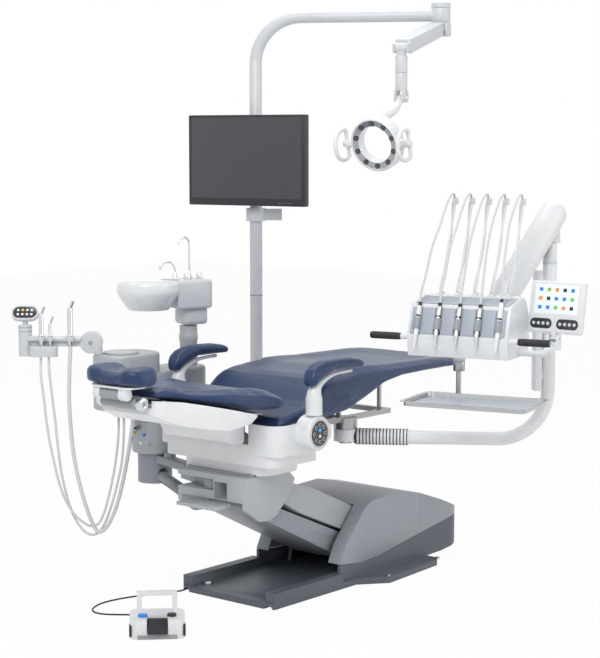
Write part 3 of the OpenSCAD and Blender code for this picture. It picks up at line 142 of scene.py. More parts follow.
class UnitSettings(bpy.types.PropertyGroup):
    """Sizes and colours of the covers, hoses and lamp."""
    white: bpy.props.FloatVectorProperty(name="White parts", description="Colour of the moulded white parts",
                                         subtype="COLOR", size=4, default=linear("#e6e8ea"))
    grey: bpy.props.FloatVectorProperty(name="Grey covers", description="Colour of the painted grey covers",
                                        subtype="COLOR", size=4, default=linear("#b4b7bc"))
    edge: bpy.props.FloatProperty(name="Edge radius", description="Rounding of moulded edges",
                                  default=0.003, unit="LENGTH")
    rib_pitch: bpy.props.FloatProperty(name="Rib pitch", description="Distance between the ribs of a ribbed hose",
                                       default=0.009, unit="LENGTH")
    reflectors: bpy.props.IntProperty(name="Reflectors", description="Number of reflectors round the lamp's ring",
                                      default=10, min=4, max=16)


# ------------------------------------------------------------------ materials
def add(tree, kind, values=None, links=None, **settings):
    """Adds a node with its settings, input values and incoming links."""
    node = tree.nodes.new(kind)
    for name, value in settings.items():
        setattr(node, name, value)
    for name, value in (values or {}).items():
        node.inputs[name].default_value = value
    for name, source in (links or {}).items():
        tree.links.new(source, node.inputs[name])
    return node


def surface(name, colour, rough, metallic=0.0, coat=0.0, ior=1.5, mottle=0.04, mottle_mm=60.0, grain_mm=0.0,
            grain=0.0, stretch=(1, 1, 1), cells=False, alpha=1.0, glow=0.0, transmission=0.0):
    """A finish: plain colour, faint mottling that the eye reads as a moulded or painted skin, and a fine grain."""
    mat = bpy.data.materials.new(name)
    mat.use_nodes = True
    tree = mat.node_tree
    tree.nodes.clear()
    rgba = colour if not isinstance(colour, str) else linear(colour)
    where = add(tree, "ShaderNodeTexCoord").outputs["Object"]
    placed = add(tree, "ShaderNodeMapping", {"Scale": stretch}, {"Vector": where}).outputs["Vector"]
    cloud = add(tree, "ShaderNodeTexNoise", {"Scale": 1000 / mottle_mm, "Detail": 3.0}, {"Vector": placed})
    darker = [c * (1 - 2 * mottle) for c in rgba[:3]] + [1]
    lighter = [min(1, c * (1 + mottle)) for c in rgba[:3]] + [1]
    mix = add(tree, "ShaderNodeMix", {6: darker, 7: lighter}, {0: cloud.outputs["Fac"]}, data_type="RGBA")
    rough_mix = add(tree, "ShaderNodeMapRange", {"To Min": max(0.02, rough - 0.05), "To Max": min(1, rough + 0.05)},
                    {"Value": cloud.outputs["Fac"]})
    shader = add(tree, "ShaderNodeBsdfPrincipled",
                 {"Metallic": metallic, "Coat Weight": coat, "Coat Roughness": 0.08, "Alpha": alpha,
                  "Transmission Weight": transmission},
                 {"Base Color": mix.outputs[2], "Roughness": rough_mix.outputs["Result"]})
    if metallic < 0.5:
        shader.inputs["IOR"].default_value = ior
    if glow:
        shader.inputs["Emission Color"].default_value = rgba
        shader.inputs["Emission Strength"].default_value = glow
    if grain:
        if cells:
            fine = add(tree, "ShaderNodeTexVoronoi", {"Scale": 1000 / grain_mm}, {"Vector": placed})
            height = fine.outputs["Distance"]
        else:
            fine = add(tree, "ShaderNodeTexNoise", {"Scale": 1000 / grain_mm, "Detail": 2.0}, {"Vector": placed})
            height = fine.outputs["Fac"]
        bump = add(tree, "ShaderNodeBump", {"Strength": grain, "Distance": 0.0004}, {"Height": height})
        tree.links.new(bump.outputs["Normal"], shader.inputs["Normal"])
    add(tree, "ShaderNodeOutputMaterial", links={"Surface": shader.outputs["BSDF"]})
    return mat


MATERIALS = {}


def make_materials():
    """All finishes, each named for the real material."""
    chair, unit = bpy.context.scene.chair_sizes, bpy.context.scene.unit_sizes
    white, grey = list(unit.white), list(unit.grey)
    # injection-moulded ABS, satin: soft highlights and an even skin
    MATERIALS["white"] = surface("moulded_abs_white", white, 0.34, coat=0.15, grain_mm=1.4, grain=0.05)
    # powder-coated aluminium covers: satin with a faint orange peel
    MATERIALS["grey"] = surface("powder_coat_light_grey", grey, 0.38, grain_mm=2.0, grain=0.08)
    MATERIALS["pale"] = surface("powder_coat_pale", "#d2d5d9", 0.34, grain_mm=2.0, grain=0.06)
    MATERIALS["cover"] = surface("moulded_abs_grey", "#9a9ea5", 0.42, grain_mm=1.6, grain=0.08)
    MATERIALS["holder"] = surface("moulded_abs_blue_grey", "#a9b1bd", 0.4, grain_mm=1.6, grain=0.06)
    MATERIALS["slate"] = surface("powder_coat_slate", "#565c65", 0.45, grain_mm=1.6, grain=0.12)
    MATERIALS["steel"] = surface("brushed_stainless", "#a9abad", 0.3, metallic=1.0, mottle_mm=2.0,
                                 stretch=(1, 12, 1))
    MATERIALS["tray"] = surface("satin_stainless_tray", "#b9bbbd", 0.26, metallic=1.0, mottle_mm=4.0,
                                stretch=(1, 10, 1))
    MATERIALS["chrome"] = surface("chrome_plate", "#d6d8da", 0.09, metallic=1.0, mottle=0.01)
    MATERIALS["brass"] = surface("brass_fitting", "#c59a4a", 0.25, metallic=1.0)
    MATERIALS["dark"] = surface("moulded_abs_charcoal", "#24272d", 0.42, grain_mm=1.4, grain=0.08)
    MATERIALS["gloss_dark"] = surface("polycarbonate_dark", "#17191e", 0.12, coat=0.6)
    MATERIALS["screen"] = surface("lcd_panel_off", "#33373d", 0.16, coat=0.5, mottle=0.02, mottle_mm=400)
    MATERIALS["rubber"] = surface("moulded_rubber", "#1e2126", 0.62, grain_mm=1.2, grain=0.12)
    MATERIALS["slate_rubber"] = surface("ribbed_pvc_hose_slate", "#3c434c", 0.5, grain_mm=1.5, grain=0.1)
    MATERIALS["hose"] = surface("silicone_hose_white", "#d7d9db", 0.42, grain_mm=1.2, grain=0.05)
    MATERIALS["enamel"] = surface("glazed_ceramic", "#eceeef", 0.12, coat=0.4, mottle=0.01)
    MATERIALS["blue"] = surface("keycap_blue", "#1c86e8", 0.3, coat=0.3)
    MATERIALS["lit_blue"] = surface("lit_key_blue", "#2f9df4", 0.3, glow=0.6)
    MATERIALS["yellow"] = surface("keycap_yellow", "#e8c21a", 0.35)
    MATERIALS["green"] = surface("display_green", "#6fb843", 0.35, glow=0.25)
    MATERIALS["orange"] = surface("display_orange", "#e9892c", 0.35, glow=0.25)
    MATERIALS["display"] = surface("lcd_panel_lit", "#dfe6ea", 0.2, glow=0.25, mottle=0.01)
    MATERIALS["reflector"] = surface("coated_reflector", "#4a4f57", 0.12, metallic=0.8, coat=0.5)
    MATERIALS["smoke"] = surface("polycarbonate_smoke", "#8e9092", 0.12, transmission=0.6, alpha=0.6)
    MATERIALS["mat"] = surface("silicone_mat", "#c3cbd4", 0.45, grain_mm=3.0, grain=0.3)
    # synthetic leather: pebbled, pebbles drawn 2.4 mm across so that they show, with a soft sheen
    leather = surface("synthetic_leather_navy", list(chair.leather), 0.4, grain_mm=2.4, grain=0.22, cells=True,
                      mottle=0.06, mottle_mm=120)
    leather.node_tree.nodes["Principled BSDF"].inputs["Sheen Weight"].default_value = 0.12
    MATERIALS["leather"] = leather
    MATERIALS["thread"] = surface("sewing_thread_navy", "#24436f", 0.7)


# ------------------------------------------------------------------ shapes
def spline(points, steps=6, closed=False):
    """Points on a smooth curve through the given ones."""
    pts = [Vector(p) for p in points]
    n = len(pts)
    out = []
    for i in range(n if closed else n - 1):
        a, b, c, d = ((pts[(i + k) % n] for k in (-1, 0, 1, 2)) if closed else
                      (pts[max(i - 1, 0)], pts[i], pts[i + 1], pts[min(i + 2, n - 1)]))
        for s in range(steps):
            t = s / steps
            out.append(0.5 * (2 * b + (c - a) * t + (2 * a - 5 * b + 4 * c - d) * t * t
                              + (3 * b - a - 3 * c + d) * t ** 3))
    if not closed:
        out.append(pts[-1])
    return out


def rounded(length, width, r, steps=8):
    """Outline of a rounded rectangle."""
    out = []
    for k, (sx, sy) in enumerate(((1, 1), (-1, 1), (-1, -1), (1, -1))):
        for i in range(steps + 1):
            a = math.radians(90 * k + 90 * i / steps)
            out.append((sx * (length / 2 - r) + r * math.cos(a), sy * (width / 2 - r) + r * math.sin(a)))
    return out


def interpolate(table, x):
    """Linear look-up in a table of (x, value)."""
    rows = sorted(table)
    if x <= rows[0][0]:
        return rows[0][1]
    for (x0, v0), (x1, v1) in zip(rows, rows[1:]):
        if x <= x1:
            return v0 + (v1 - v0) * (x - x0) / (x1 - x0)
    return rows[-1][1]


class Shape:
    """Collects geometry, given in millimetres in a local frame, into one mesh."""

    def __init__(self, place=None):
        self.bm = bmesh.new()
        self.place = place or Matrix()

    def rings(self, rings, caps=True, loop=False):
        """Skins rings of equally many points."""
        rows = [[self.bm.verts.new(self.place @ Vector(p)) for p in ring] for ring in rings]
        n = len(rows[0])
        pairs = list(zip(rows, rows[1:])) + ([(rows[-1], rows[0])] if loop else [])
        for a, b in pairs:
            for k in range(n):
                m = (k + 1) % n
                self.bm.faces.new((a[k], a[m], b[m], b[k]))
        if caps and not loop:
            self.bm.faces.new(rows[0][::-1])
            self.bm.faces.new(rows[-1])
        return self

    def tube(self, route, r, sides=16, caps=True):
        """A round tube along a route; r is one radius or one for each point."""
        pts = [Vector(p) for p in route]
        radii = r if isinstance(r, (list, tuple)) else [r] * len(pts)
        normal = None
        rings = []
        for i, p in enumerate(pts):
            t = (pts[min(i + 1, len(pts) - 1)] - pts[max(i - 1, 0)]).normalized()
            if normal is None:
                normal = t.cross(Vector((0, 0, 1)) if abs(t.z) < 0.9 else Vector((1, 0, 0))).normalized()
            normal = (normal - t * normal.dot(t)).normalized()
            side = t.cross(normal)
            rings.append([p + radii[i] * (math.cos(a) * normal + math.sin(a) * side)
                          for a in (2 * math.pi * k / sides for k in range(sides))])
        return self.rings(rings, caps)

    def turned(self, profile, place=None, sides=40, closed=False):
        """A turned part: profile of (radius, height) round the local Z axis of place."""
        place = place or Matrix()
        rings = [[place @ Vector((max(r, 0.02) * math.cos(2 * math.pi * k / sides),
                                  max(r, 0.02) * math.sin(2 * math.pi * k / sides), z)) for k in range(sides)]
                 for r, z in profile]
        return self.rings(rings, caps=not closed, loop=closed)

    def prism(self, outline, depth, place=None, bevel=0.0, segments=3):
        """An outline raised along local Z from 0 to depth, with rounded edges."""
        part = bmesh.new()
        low = [part.verts.new((x, y, 0)) for x, y in outline]
        high = [part.verts.new((x, y, depth)) for x, y in outline]
        part.faces.new(low[::-1])
        part.faces.new(high)
        n = len(low)
        for k in range(n):
            part.faces.new((low[k], low[(k + 1) % n], high[(k + 1) % n], high[k]))
        bmesh.ops.recalc_face_normals(part, faces=part.faces)
        if bevel:
            part.normal_update()
            sharp = [e for e in part.edges if len(e.link_faces) == 2 and e.calc_face_angle() > math.radians(28)]
            bmesh.ops.bevel(part, geom=sharp, offset=bevel, segments=segments, profile=0.5, affect="EDGES",
                            clamp_overlap=True)
        part.transform(self.place @ (place or Matrix()))
        mesh = bpy.data.meshes.new("part")
        part.to_mesh(mesh)
        part.free()
        self.bm.from_mesh(mesh)
        bpy.data.meshes.remove(mesh)
        return self

    def box(self, centre, size, bevel=0.0, turned=None, segments=3):
        """A block with rounded edges."""
        x, y, z = size
        outline = [(-x / 2, -y / 2), (x / 2, -y / 2), (x / 2, y / 2), (-x / 2, y / 2)]
        place = at(*centre) @ (turned or Matrix()) @ at(0, 0, -z / 2)
        return self.prism(outline, z, place, bevel, segments)

    def ball(self, centre, r, squash=(1, 1, 1), sides=24):
        """A ball or an egg."""
        rows = sides // 2
        profile = [(r * math.sin(math.pi * i / rows), -r * math.cos(math.pi * i / rows)) for i in range(rows + 1)]
        return self.turned(profile, at(*centre) @ Matrix.Diagonal((*squash, 1)), sides)

    def mesh(self, name, doubles=0.02, outwards=True):
        bmesh.ops.remove_doubles(self.bm, verts=self.bm.verts, dist=doubles)
        if outwards:
            bmesh.ops.recalc_face_normals(self.bm, faces=self.bm.faces)
        self.bm.transform(Matrix.Scale(MM, 4))
        mesh = bpy.data.meshes.new(name)
        self.bm.to_mesh(mesh)
        self.bm.free()
        return mesh

    def piece(self, name, material, body, slot, smooth=32, replaces=(), outwards=True):
        return settle(self.mesh(name, outwards=outwards), name, material, body, smooth, replaces)


def settle(mesh, name, material, body, smooth=32, replaces=(), obj=None):
    """A finished mesh as a piece that rides on a body."""
    mesh.materials.clear()
    mesh.materials.append(MATERIALS[material])
    mesh.polygons.foreach_set("use_smooth", [True] * len(mesh.polygons))
    mesh.set_sharp_from_angle(angle=math.radians(smooth))
    if obj is None:
        obj = bpy.data.objects.new(name, mesh)
        bpy.context.scene.collection.objects.link(obj)
    if body:
        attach(obj, body)
    if replaces:
        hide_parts(*replaces)
    return obj


def dressed(node, material, bevel=1.5, angle=32, segments=2):
    """A CAD node's shape with its edges broken, standing for that node."""
    source = frame["nodes"][node]
    bm = bmesh.new()
    bm.from_mesh(source.data)
    bmesh.ops.remove_doubles(bm, verts=bm.verts, dist=2e-5)
    bmesh.ops.dissolve_limit(bm, angle_limit=math.radians(0.4), verts=bm.verts, edges=bm.edges)
    bm.normal_update()
    if bevel:
        sharp = [e for e in bm.edges if len(e.link_faces) == 2 and e.calc_face_angle() > math.radians(angle)]
        bmesh.ops.bevel(bm, geom=sharp, offset=bevel * MM, segments=segments, profile=0.5, affect="EDGES",
                        clamp_overlap=True)
    mesh = bpy.data.meshes.new(node + "_finish")
    bm.to_mesh(mesh)
    bm.free()
    return settle(mesh, node + "_finish", material, source["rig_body"], angle, (node,))


def cut(obj, cutter):
    """Takes one solid out of another."""
    mod = obj.modifiers.new("cut", "BOOLEAN")
    mod.operation, mod.object, mod.solver = "DIFFERENCE", cutter, "EXACT"
    bpy.context.view_layer.update()
    result = bpy.data.meshes.new_from_object(obj.evaluated_get(bpy.context.evaluated_depsgraph_get()))
    obj.modifiers.clear()
    old, obj.data = obj.data, result
    bpy.data.meshes.remove(old)
    bpy.data.objects.remove(cutter)
    result.polygons.foreach_set("use_smooth", [True] * len(result.polygons))
    result.set_sharp_from_angle(angle=math.radians(32))
    return obj


# ------------------------------------------------------------------ geometry node trees
def node_tree(name, inputs):
    """An empty tree with a geometry input and named inputs."""
    tree = bpy.data.node_groups.new(name, "GeometryNodeTree")
    tree.interface.new_socket("Geometry", in_out="INPUT", socket_type="NodeSocketGeometry")
    for label, kind, value in inputs:
        socket = tree.interface.new_socket(label, in_out="INPUT", socket_type=kind)
        if kind != "NodeSocketMaterial":
            socket.default_value = value
    tree.interface.new_socket("Geometry", in_out="OUTPUT", socket_type="NodeSocketGeometry")
    return tree, add(tree, "NodeGroupInput"), add(tree, "NodeGroupOutput")


def ribbed_tree():
    """A ribbed hose along a curve: its radius steps between rib and groove."""
    tree, start, end = node_tree("ribbed_hose", [
        ("Pitch", "NodeSocketFloat", 0.009), ("Rib radius", "NodeSocketFloat", 0.02),
        ("Groove radius", "NodeSocketFloat", 0.018), ("Finish", "NodeSocketMaterial", None)])
    half = add(tree, "ShaderNodeMath", {1: 0.25}, {0: start.outputs["Pitch"]}, operation="MULTIPLY")
    spaced = add(tree, "GeometryNodeResampleCurve", links={"Curve": start.outputs["Geometry"],
                                                           "Length": half.outputs[0]}, mode="LENGTH")
    index = add(tree, "GeometryNodeInputIndex")
    beat = add(tree, "ShaderNodeMath", {1: 4.0}, {0: index.outputs[0]}, operation="MODULO")
    high = add(tree, "ShaderNodeMath", {1: 1.5}, {0: beat.outputs[0]}, operation="GREATER_THAN")
    radius = add(tree, "ShaderNodeMix", links={0: high.outputs[0], 2: start.outputs["Groove radius"],
                                               3: start.outputs["Rib radius"]}, data_type="FLOAT")
    circle = add(tree, "GeometryNodeCurvePrimitiveCircle", {"Resolution": 16, "Radius": 1.0})
    wide = add(tree, "GeometryNodeSetCurveRadius", links={"Curve": spaced.outputs["Curve"],
                                                          "Radius": radius.outputs[0]})
    skin = add(tree, "GeometryNodeCurveToMesh", {"Fill Caps": True},
               {"Curve": wide.outputs["Curve"], "Profile Curve": circle.outputs["Curve"]})
    if "Scale" in skin.inputs:
        tree.links.new(radius.outputs[0], skin.inputs["Scale"])
    real = add(tree, "GeometryNodeRealizeInstances", links={"Geometry": skin.outputs["Mesh"]})
    dyed = add(tree, "GeometryNodeSetMaterial", links={"Geometry": real.outputs["Geometry"],
                                                       "Material": start.outputs["Finish"]})
    tree.links.new(dyed.outputs["Geometry"], end.inputs["Geometry"])
    return tree


def ring_tree():
    """Copies of a disc set in a circle, such as reflectors or keys."""
    tree, start, end = node_tree("discs_in_a_circle", [
        ("Count", "NodeSocketInt", 10), ("Circle radius", "NodeSocketFloat", 0.08),
        ("Disc radius", "NodeSocketFloat", 0.01), ("Disc height", "NodeSocketFloat", 0.004),
        ("Finish", "NodeSocketMaterial", None)])
    circle = add(tree, "GeometryNodeMeshCircle", links={"Vertices": start.outputs["Count"],
                                                        "Radius": start.outputs["Circle radius"]})
    disc = add(tree, "GeometryNodeMeshCylinder", {"Vertices": 24}, {"Radius": start.outputs["Disc radius"],
                                                                    "Depth": start.outputs["Disc height"]})
    spread = add(tree, "GeometryNodeInstanceOnPoints", links={"Points": circle.outputs["Mesh"],
                                                              "Instance": disc.outputs["Mesh"]})
    real = add(tree, "GeometryNodeRealizeInstances", links={"Geometry": spread.outputs["Instances"]})
    dyed = add(tree, "GeometryNodeSetMaterial", links={"Geometry": real.outputs["Geometry"],
                                                       "Material": start.outputs["Finish"]})
    tree.links.new(dyed.outputs["Geometry"], end.inputs["Geometry"])
    return tree


def grown(name, source, tree, values, material, body, place=None, smooth=32):
    """Runs a tree on a mesh or curve and keeps the result as a plain piece."""
    base = bpy.data.objects.new(name + "_base", source)
    bpy.context.scene.collection.objects.link(base)
    mod = base.modifiers.new("grow", "NODES")
    mod.node_group = tree
    for item in tree.interface.items_tree:
        if item.in_out == "INPUT" and item.name in values:
            mod[item.identifier] = values[item.name]
        elif item.in_out == "INPUT" and item.name == "Finish":
            mod[item.identifier] = MATERIALS[material]
    bpy.context.view_layer.update()
    mesh = bpy.data.meshes.new_from_object(base.evaluated_get(bpy.context.evaluated_depsgraph_get()))
    bpy.data.objects.remove(base)
    if place:
        mesh.transform(Matrix.Scale(MM, 4) @ place @ Matrix.Scale(1 / MM, 4))
    return settle(mesh, name, material, body, smooth)


def path_curve(name, points):
    """A curve of straight steps through points in metres."""
    curve = bpy.data.curves.new(name, "CURVE")
    curve.dimensions = "3D"
    line = curve.splines.new("POLY")
    line.points.add(len(points) - 1)
    for point, p in zip(line.points, points):
        point.co = (*p, 1)
    return curve


TREES = {}


def ribbed_hose(name, route, r, material, body, place=None, pitch=None):
    """A ribbed hose through points in millimetres."""
    place = place or Matrix()
    points = [(place @ Vector(p)) * MM for p in spline(route, 10)]
    pitch = pitch or bpy.context.scene.unit_sizes.rib_pitch
    return grown(name, path_curve(name, points), TREES["ribbed"],
                 {"Pitch": pitch, "Rib radius": r * MM, "Groove radius": r * MM * 0.86}, material, body,
                 smooth=25)


def finish(node, material):
    """Gives a CAD node that keeps its own mesh its finish."""
    mesh = frame["nodes"][node].data
    mesh.materials.clear()
    mesh.materials.append(MATERIALS[material])


# ------------------------------------------------------------------ cords
def cord_piece(name, route, r, material, nodes, place=None, rib=0.0, steps=8):
    """A hose or cable as a tube along its route, standing for the CAD nodes that it replaces."""
    place = place or Matrix()
    path = [place @ Vector(p) for p in spline(route, steps)]
    if rib:
        path = evenly(path, rib)
    radii = [r if not rib or i % 4 < 2 else r * 0.87 for i in range(len(path))]
    obj = settle(Shape().tube(path, radii, 12).mesh(name), name, material, None, 40, nodes)
    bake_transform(obj)
    return obj


def evenly(points, step):
    """The same path with points a fixed step apart."""
    out, left = [points[0]], step
    for a, b in zip(points, points[1:]):
        length = (b - a).length
        done = 0.0
        while length - done >= left:
            done += left
            out.append(a.lerp(b, done / length))
            left = step
        left -= length - done
    out.append(points[-1])
    return out


SOCKET = Vector((-415, 193, 8))
FOOT_PLUG = FOOT @ Vector((95, 40, 16))
CABLE_ROUTE = [SOCKET, (-436, 193, 8), (-466, 198, 5), (-500, 214, 3.4), (-545, 238, 3.2), (-600, 262, 3.2),
               (-660, 284, 3.2), (-730, 296, 3.2), (-790, 288, 3.2), (-838, 262, 3.2), (-860, 226, 3.2),
               (-856, 188, 3.2), (-834, 152, 3.2), (-808, 118, 3.2), (-801, 88, 3.2), (-806, 60, 3.2),
               (-819, 33, 5), (-838, 10, 10), FOOT @ Vector((109, 40, 15.5)), FOOT_PLUG]
ASSIST_ROUTES = [
    [(-516, 458, UNIT_BELLY), (-516, 458, UNIT_BELLY - 12), (-526, 447, 580), (-542, 437, 514), (-564, 434, 421),
     (-588, 434, 345), (-610, 438, 280), (-632, 447, 240), (-658, 463, 235), (-681, 481, 253), (-703, 502, 286),
     (-721, 521, 332), (-734, 539, 396), (-742, 558, 482), (-748, 571, 550), (-750, 582, 618), (-750, 592, 685),
     (-750, 606, 773), ASSIST @ Vector((200, 34, -16)), ASSIST @ Vector((200, 34, -4))],
    [(-520, 430, UNIT_BELLY), (-520, 430, UNIT_BELLY - 12), (-526, 420, 580), (-546, 410, 468), (-568, 412, 384),
     (-592, 420, 304), (-612, 436, 238), (-634, 451, 205), (-656, 468, 203), (-676, 489, 227), (-693, 512, 276),
     (-705, 533, 349), (-713, 549, 431), (-722, 553, 512), (-722, 567, 616), (-722, 578, 683),
     (-723, 591, 773), ASSIST @ Vector((172, 34, -16)), ASSIST @ Vector((172, 34, -4))],
    [(-490, 408, UNIT_BELLY), (-490, 408, UNIT_BELLY - 15), (-502, 402, 579), (-528, 396, 491), (-560, 396, 380),
     (-590, 402, 292), (-622, 414, 232), (-648, 428, 216), (-666, 442, 250), (-680, 460, 314), (-690, 480, 392),
     (-697, 498, 483), (-700, 508, 574), (-698, 518, 686), (-690, 523, 785), ASSIST @ Vector((94, 37, 24)),
     ASSIST @ Vector((94, 37, 38))]]


def instrument_route(i):
    """One instrument hose in the head's frame: up from the head, over its whip and down to its handpiece."""
    y, h, top = WHIPS[i], HOLDERS[i], 201 if i == 4 else 178
    side = y + 12.5
    return [(43, side, 172), (43, side, 184), (52, side, 214), (72, side, 250), (106, side, 300),
            (138, side, 370), (156, side, 440), (162, side, 500), (160, y + 6, 524), (134, y, 537), (104, y, 530),
            (66, y, 500), (10, y, 436), (-44, h + (y - h) * 0.6, 360), (-82, h + (y - h) * 0.3, top + 92),
            (-106, h, top + 38), (-118, h, top)]


def make_cords():
    cord_piece("foot_control_cable", CABLE_ROUTE, 3, "rubber",
               ("foot_cable",))
    for k, (route, r) in enumerate(zip(ASSIST_ROUTES, (4.5, 4.5, 7.5))):
        cord_piece(f"assist_hose_{k + 1}", route, r, "hose",
                   ("assist_hoses",), rib=1.6 if r > 5 else 0)
    for i in range(5):
        cord_piece(f"instrument_hose_{i + 1}", instrument_route(i), 4.4,
                   "hose", ("instrument_hoses",), HEAD, rib=1.5)


# ------------------------------------------------------------------ padded pieces
def soft_ring(x, half, low, top, power=5.0, dip=0.0, count=56, axis="X"):
    """A rounded, slightly hollowed section of a cushion."""
    out = []
    for k in range(count):
        a = 2 * math.pi * k / count
        c, s = math.cos(a), math.sin(a)
        y = half * math.copysign(abs(c) ** (2 / power), c)
        z = (low + top) / 2 + (top - low) / 2 * math.copysign(abs(s) ** (2 / power), s)
        if s > 0 and dip:
            t = min(1, max(0, (abs(y) / half - 0.5) / 0.32))
            z -= dip * (1 - t * t * (3 - 2 * t)) * s
        out.append((x, y, z) if axis == "X" else (y, x, z))
    return out


def stuffed(name, rings, body, node, cap, seams=(), voxel=None, place=None):
    """A cushion: its cover is blown up a little, and its seams are drawn in afterwards."""
    chair = bpy.context.scene.chair_sizes
    mesh = Shape(place or at(*LIFT_UP)).rings(rings).mesh(name)
    obj = bpy.data.objects.new(name, mesh)
    bpy.context.scene.collection.objects.link(obj)
    mod = obj.modifiers.new("cover", "REMESH")
    mod.mode, mod.voxel_size = "VOXEL", voxel or chair.voxel
    apply_modifiers(obj)
    start = [v.co.copy() for v in obj.data.vertices]
    rests = [v.normal.z < -0.6 for v in obj.data.vertices]
    cloth = obj.modifiers.new("stuffing", "CLOTH")
    cloth.settings.use_pressure = True
    cloth.settings.uniform_pressure_force = 4
    cloth.settings.tension_stiffness = cloth.settings.compression_stiffness = 40
    cloth.settings.effector_weights.gravity = 0
    cloth.point_cache.frame_start, cloth.point_cache.frame_end = 1, 20
    for number in range(1, 21):
        bpy.context.scene.frame_set(number)
    apply_modifiers(obj)
    bpy.context.scene.frame_set(1)
    for v, was, flat in zip(obj.data.vertices, start, rests):
        move = v.co - was
        if move.length > cap * MM:
            move *= cap * MM / move.length
        if flat:
            move.z = max(move.z, 0)
        v.co = was + move
    sub = obj.modifiers.new("fine", "SUBSURF")
    sub.levels = sub.render_levels = 1
    apply_modifiers(obj)
    place = place or at(*LIFT_UP)
    for k, (path, depth, width) in enumerate(seams):
        draw_in(obj, [place @ Vector(p) for p in path], depth, width)
    settle(obj.data, name, "leather", body, 60, (node,), obj)
    return obj


def apply_modifiers(obj):
    """Keeps what the modifiers make as the object's own mesh."""
    bpy.context.view_layer.update()
    mesh = bpy.data.meshes.new_from_object(obj.evaluated_get(bpy.context.evaluated_depsgraph_get()))
    obj.modifiers.clear()
    obj.data = mesh


def draw_in(obj, path, depth, width):
    """Pulls the cover in along a seam, given in millimetres."""
    points = spline(path, 8)
    line = []
    for start, end in zip(points, points[1:]):
        steps = max(1, round((end - start).length))
        line += [start.lerp(end, k / steps) for k in range(steps)]
    tree = KDTree(len(line))
    for k, p in enumerate(line):
        tree.insert(p * MM, k)
    tree.balance()
    reach = 3 * width * MM
    low = [min(p[k] for p in line) * MM - reach for k in range(3)]
    high = [max(p[k] for p in line) * MM + reach for k in range(3)]
    for v in obj.data.vertices:
        x, y, z = v.co
        if low[0] <= x <= high[0] and low[1] <= y <= high[1] and low[2] <= z <= high[2]:
            near = tree.find(v.co)[2] / MM
            if near < 3 * width:
                v.co -= v.normal * depth * MM * math.exp(-(near / width) ** 2)


SEAT_TOP = [(-472, 656), (-400, 668), (-300, 688), (-258, 726), (-215, 762), (-160, 776), (-100, 783), (0, 793),
            (95, 789), (190, 782), (350, 779), (504, 776), (600, 773), (628, 768), (638, 760)]
SEAT_LOW = [(-472, 636), (-300, 637), (-218, 624), (-67, 641), (25, 675), (137, 723), (239, 740), (395, 744),
            (600, 744), (628, 747), (638, 754)]
BACK_TOP = [(-913, 800), (-880, 802), (-841, 797), (-804, 785), (-754, 781), (-654, 780), (-517, 769),
            (-455, 752), (-413, 738)]
BACK_LOW = [(-913, 775), (-893, 770), (-824, 762), (-773, 751), (-697, 733), (-573, 702), (-440, 692), (-413, 700)]
BACK_EDGE = [(-915, 120), (-880, 133), (-841, 148), (-804, 173), (-754, 213), (-704, 238), (-654, 254),
             (-585, 261), (-517, 262), (-440, 259), (-409, 246)]
PAD_TOP = [(-388, 792), (-384, 810), (-372, 830), (-350, 846), (-312, 856), (-240, 858), (-176, 856), (-128, 848),
           (-106, 840), (-97, 830)]
PAD_LOW = [(-388, 784), (-384, 775), (-366, 772), (-330, 789), (-296, 803), (-262, 818), (-180, 818), (-106, 817),
           (-97, 824)]
LOBES = [(-127, 850), (-114, 872), (-92, 877), (-66, 871), (-30, 858), (0, 855), (30, 858), (66, 871), (92, 877),
         (114, 872), (127, 850)]


def stations(start, end, step, ends=8):
    """Places along a cushion, closer together near its ends."""
    count = int((end - start) / step)
    inner = [start + (end - start) * k / count for k in range(1, count)]
    return [start, start + ends / 3, start + ends] + [x for x in inner if start + ends < x < end - ends] + [
        end - ends, end - ends / 3, end]


